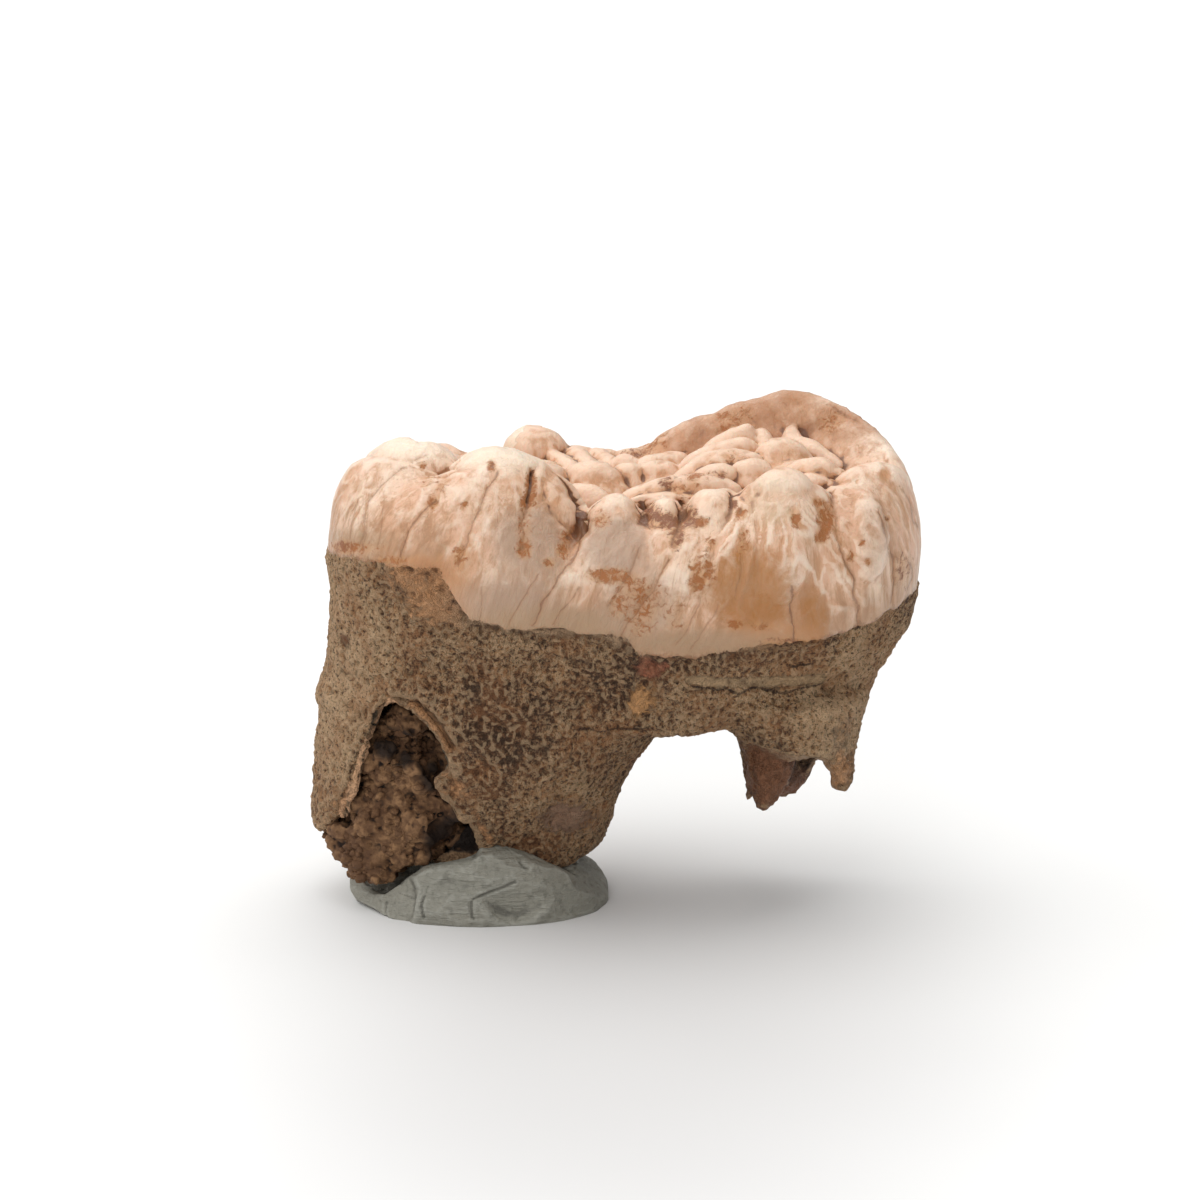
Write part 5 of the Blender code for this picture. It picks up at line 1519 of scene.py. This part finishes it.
# Cracks and scratches of the putty in the front view: route, half width in pixels and depth in metres.
PUTTY_CRACKS = (
    (((424, 896), (421, 906), (423, 918)), 2.2, 0.00022),
    (((471, 902), (471, 910), (473, 919)), 2.2, 0.00022),
    (((473, 899), (490, 892), (504, 887), (515, 882)), 2.2, 0.00022),
    (((520, 861), (524, 866), (528, 868)), 2.6, 0.00020),
    (((386, 902), (385, 912), (387, 916)), 1.8, 0.00014),
    (((400, 893), (412, 898), (422, 900)), 1.6, 0.00008),
    (((428, 886), (426, 892), (428, 898)), 1.6, 0.00008),
    (((560, 850), (566, 862), (568, 872)), 1.8, 0.00008),
)

# Flats pressed into the putty: a place on the flat and the direction it faces.
PUTTY_FLATS = (
    ((-0.0095, -0.0060, 0.0012), (-0.25, -0.90, 0.42)),
    ((-0.0060, -0.0060, 0.0022), (0.02, -0.86, 0.52)),
    ((-0.0030, -0.0052, 0.0018), (0.38, -0.80, 0.48)),
    ((-0.0120, -0.0035, 0.0010), (-0.72, -0.60, 0.30)),
    ((-0.0060, -0.0045, 0.0036), (0.05, -0.25, 0.97)),
)
# Share of what stands over a flat that is pressed down.
FLAT_PRESSURE = 0.9

# Small facets at chance places: how many, how deep and how wide.
FACETS = 60
FACET_DEPTH = 0.00012
FACET_REACH = 0.0022

# The putty's hollow for the cave earth is this much larger than the earth's hoops.
EARTH_BED = 0.00005
# Only a finer grid than the default one reaches this many triangles.
PUTTY_MOST_FACES = 150000
# Faces with their middle under this height belong to the flat underside.
FLAT_HEIGHT = 0.000001


def make_putty():
    """The putty: pressed lumps with flats, cracks and a curled lip, standing on a flat underside."""
    forms = [hooped_form(PUTTY, ROOT_ROUNDNESS)] + [egg(*row) for row in PUTTY_LUMPS]
    putty = join_forms("putty_lump", forms)
    fuse(putty, sizes().putty_grid)
    relax(putty, 3)
    carve(putty, [hooped_form(SEDIMENT, ROOT_ROUNDNESS, EARTH_BED)], None)
    fuse(putty, sizes().putty_grid)
    relax(putty, 4)
    points, normals = read_points(putty)
    for place, facing in PUTTY_FLATS:
        facing = np.array(facing) / np.linalg.norm(facing)
        over = (points - np.array(place)) @ facing
        points = points - np.clip(over, 0.0, None)[:, None] * facing * FLAT_PRESSURE
    chance = random.Random(5)
    for _ in range(FACETS):
        index = chance.randrange(len(points))
        facing = normals[index]
        over = (points - points[index]) @ facing + FACET_DEPTH
        close = 1 - smooth_step(np.linalg.norm(points - points[index], axis=1) / FACET_REACH, 0.75, 1.0)
        points = points - (np.clip(over, 0.0, None) * close)[:, None] * facing
    write_points(putty, points)
    relax(putty, 2)
    points, normals = read_points(putty)
    flat = front_view(points)
    height = 0.00008 * noise_at(points, 0.0020) + 0.00005 * noise_at(points, 0.0008)
    height += 0.00003 * noise_at(points, 0.0003)
    seen = np.flatnonzero((normals[:, 1] < -0.05) & (points[:, 1] < -0.002))
    for route, half_width, depth in PUTTY_CRACKS:
        signed, past, _ = beside_route(flat[seen], route)
        height[seen] -= 0.6 * depth * np.clip(1 - np.hypot(signed, past) / half_width, 0.0, 1.0)
    push(putty, height)
    cut_flat(putty)
    store(putty, "hollow", hollowness(putty, 6))
    store(putty, "broad_hollow", hollowness(putty, 40))
    thin_out(putty, PUTTY_MOST_FACES)
    putty.data.materials.clear()
    putty.data.materials.append(putty_material())
    putty.data.shade_smooth()
    for face in putty.data.polygons:
        if face.center.z < FLAT_HEIGHT:
            face.use_smooth = False
    return putty


def cut_flat(obj):
    """Cuts the object off flat at height 0 and closes the cut."""
    form = bmesh.new()
    form.from_mesh(obj.data)
    geometry = form.verts[:] + form.edges[:] + form.faces[:]
    bmesh.ops.bisect_plane(form, geom=geometry, plane_co=(0, 0, 0), plane_no=(0, 0, -1), clear_outer=True)
    rim = [edge for edge in form.edges if edge.is_boundary]
    bmesh.ops.contextual_create(form, geom=rim)
    form.to_mesh(obj.data)
    form.free()


PUTTY_PATCH = (0.33, 0.31, 0.255)
PUTTY_SPECK = (0.15, 0.145, 0.12)
PUTTY_PALE = (0.42, 0.41, 0.36)
# Painted shade in the putty's creases.
PUTTY_CREASE_SHADE = (0.09, 0.085, 0.07)


def putty_material():
    """Grey-green putty: broad patches, dark specks, pale scratches and ridges, and painted shade in its
    creases.
    """
    c = colours()
    s = Shades("grey_green_putty")
    place = s.place()
    broad = s.noise(place, 350.0, 3.0)
    specks = s.noise(place, 2600.0, 5.0, 0.6)
    scratches = s.noise(s.scaled(place, (0.45, 1.0, 3.6), (0.0, 0.6, 0.0)), 1700.0, 3.0, 0.6, 0.3)
    colour = s.mix(s.span(broad, 0.3, 0.7, 0.0, 0.5), tuple(c.putty), PUTTY_PATCH)
    colour = s.mix(s.span(specks, 0.52, 0.72, 0.0, 0.6), colour, PUTTY_SPECK)
    colour = s.mix(s.span(scratches, 0.56, 0.72, 0.0, 0.4), colour, PUTTY_PALE)
    colour = s.mix(s.span(s.attribute("hollow"), -0.002, -0.02, 0.0, 0.4), colour, PUTTY_PALE)
    # Painted shade: the putty is darkened in its creases.
    colour = s.mix(s.span(s.attribute("hollow"), 0.004, 0.03, 0.0, 0.6), colour, PUTTY_CREASE_SHADE)
    normal = s.bump(scratches, 0.7, 0.0003, s.bump(specks, 0.6, 0.0003))
    return s.finish(colour, s.span(specks, 0.2, 0.8, 0.5, 0.7), normal, IOR=1.45)


def aim(obj, place, target):
    """Puts a camera or a light at a place and points it at its target."""
    obj.location = place
    obj.rotation_euler = (Vector(target) - Vector(place)).to_track_quat("-Z", "Y").to_euler()


def make_camera():
    """The camera of the front view."""
    eye = view_axes()[0]
    data = bpy.data.cameras.new("front_camera")
    data.lens = VIEW_LENS
    data.sensor_width = VIEW_SENSOR
    data.clip_start = 0.01
    data.clip_end = 20.0
    camera = bpy.data.objects.new("front_camera", data)
    bpy.context.scene.collection.objects.link(camera)
    aim(camera, eye, VIEW_TARGET)
    bpy.context.scene.camera = camera


FLOOR_HALF = 3.0
# A painted shadow makes the floor greyest just in front of the tooth.
FLOOR_SHADOW_MIDDLE = (0.0, -0.026, 0.0)
FLOOR_SHADOW_REACH = (0.006, 0.050)


def make_floor():
    """The pale floor, with a painted shadow that greys it in front of the tooth."""
    form = bmesh.new()
    bmesh.ops.create_grid(form, x_segments=1, y_segments=1, size=FLOOR_HALF)
    mesh = bpy.data.meshes.new("floor")
    form.to_mesh(mesh)
    form.free()
    floor = bpy.data.objects.new("floor", mesh)
    bpy.context.scene.collection.objects.link(floor)
    s = Shades("pale_floor")
    place = s.place()
    cloud = s.noise(place, 30.0, 2.0)
    # Painted shadow: the floor greys towards its shadow colour near the tooth.
    away = s.add("ShaderNodeVectorMath", operation="DISTANCE")
    s.feed(away.inputs[0], s.scaled(place, (1.8, 1.0, 1.0)))
    s.feed(away.inputs[1], FLOOR_SHADOW_MIDDLE)
    share = s.math("MULTIPLY_ADD", s.math("SUBTRACT", cloud, 0.5), 0.01, away.outputs["Value"])
    colour = s.mix(s.span(share, *FLOOR_SHADOW_REACH), tuple(colours().floor_shadow), tuple(colours().floor))
    s.finish(colour, s.span(cloud, 0.3, 0.7, 0.5, 0.55), s.bump(cloud, 0.02, 0.0001), IOR=1.12)
    floor.data.materials.append(s.material)
    return floor


# Soft lights: name, place, target, length and width of the lamp, and power.
LIGHTS = (
    ("soft_top", (-0.35, 0.30, 1.25), (0.0, 0.0, 0.0), (2.6, 2.6), 35.0),
    ("soft_front", (-0.5, -1.4, 0.8), (0.0, 0.0, 0.015), (0.9, 0.9), 7.0),
)
ROOM_LIGHT = 0.34


def make_light(name, place, target, size, power):
    """A rectangular lamp."""
    data = bpy.data.lights.new(name, "AREA")
    data.shape = "RECTANGLE"
    data.size = size[0]
    data.size_y = size[1]
    data.energy = power
    light = bpy.data.objects.new(name, data)
    bpy.context.scene.collection.objects.link(light)
    aim(light, place, target)


def make_lights():
    """The soft lights and the white room round them."""
    for row in LIGHTS:
        make_light(*row)
    world = bpy.data.worlds.new("white_room")
    world.use_nodes = True
    background = world.node_tree.nodes["Background"]
    background.inputs["Color"].default_value = (1.0, 1.0, 1.0, 1.0)
    background.inputs["Strength"].default_value = ROOM_LIGHT
    bpy.context.scene.world = world
    bpy.context.scene.view_settings.view_transform = "Standard"


def place_piece(obj, node):
    """Lets a finished piece ride on the part in the place of its node."""
    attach(obj, "root")
    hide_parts(node)


class FOSSIL_OT_molar(bpy.types.Operator):
    """Adds the tooth with its enamel and its broken roots"""

    bl_idname = "fossil.molar"
    bl_label = "Add Tooth"

    def execute(self, context):
        place_piece(make_molar(), "molar")
        return {"FINISHED"}


class FOSSIL_OT_earth(bpy.types.Operator):
    """Adds the crumbly cave earth in the left root"""

    bl_idname = "fossil.earth"
    bl_label = "Add Cave Earth"

    def execute(self, context):
        place_piece(make_earth(), "sediment_fill")
        return {"FINISHED"}


class FOSSIL_OT_putty(bpy.types.Operator):
    """Adds the lump of putty that holds the tooth"""

    bl_idname = "fossil.putty"
    bl_label = "Add Putty"

    def execute(self, context):
        place_piece(make_putty(), "putty_mount")
        return {"FINISHED"}


class FOSSIL_OT_stage(bpy.types.Operator):
    """Adds the pale floor, the soft lights and the camera"""

    bl_idname = "fossil.stage"
    bl_label = "Add Stage"

    def execute(self, context):
        make_floor()
        make_lights()
        make_camera()
        return {"FINISHED"}


class FOSSIL_PT_panel(bpy.types.Panel):
    bl_idname = "FOSSIL_PT_panel"
    bl_label = "Cave Bear Molar"
    bl_space_type = "VIEW_3D"
    bl_region_type = "UI"
    bl_category = "Molar"

    def draw(self, context):
        for group in (context.scene.molar_sizes, context.scene.molar_colours):
            for name in group.__annotations__:
                self.layout.prop(group, name)
        for operator in OPERATORS:
            self.layout.operator(operator.bl_idname)


OPERATORS = (FOSSIL_OT_molar, FOSSIL_OT_earth, FOSSIL_OT_putty, FOSSIL_OT_stage)
CLASSES = (MolarSizes, MolarColours, *OPERATORS, FOSSIL_PT_panel)


def register():
    for cls in CLASSES:
        bpy.utils.register_class(cls)
    bpy.types.Scene.molar_sizes = PointerProperty(type=MolarSizes)
    bpy.types.Scene.molar_colours = PointerProperty(type=MolarColours)


def unregister():
    del bpy.types.Scene.molar_colours
    del bpy.types.Scene.molar_sizes
    for cls in reversed(CLASSES):
        bpy.utils.unregister_class(cls)


def main():
    """Adds every piece and the stage."""
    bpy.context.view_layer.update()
    register()
    bpy.ops.fossil.molar()
    bpy.ops.fossil.earth()
    bpy.ops.fossil.putty()
    bpy.ops.fossil.stage()


if __name__ == "__main__":
    main()
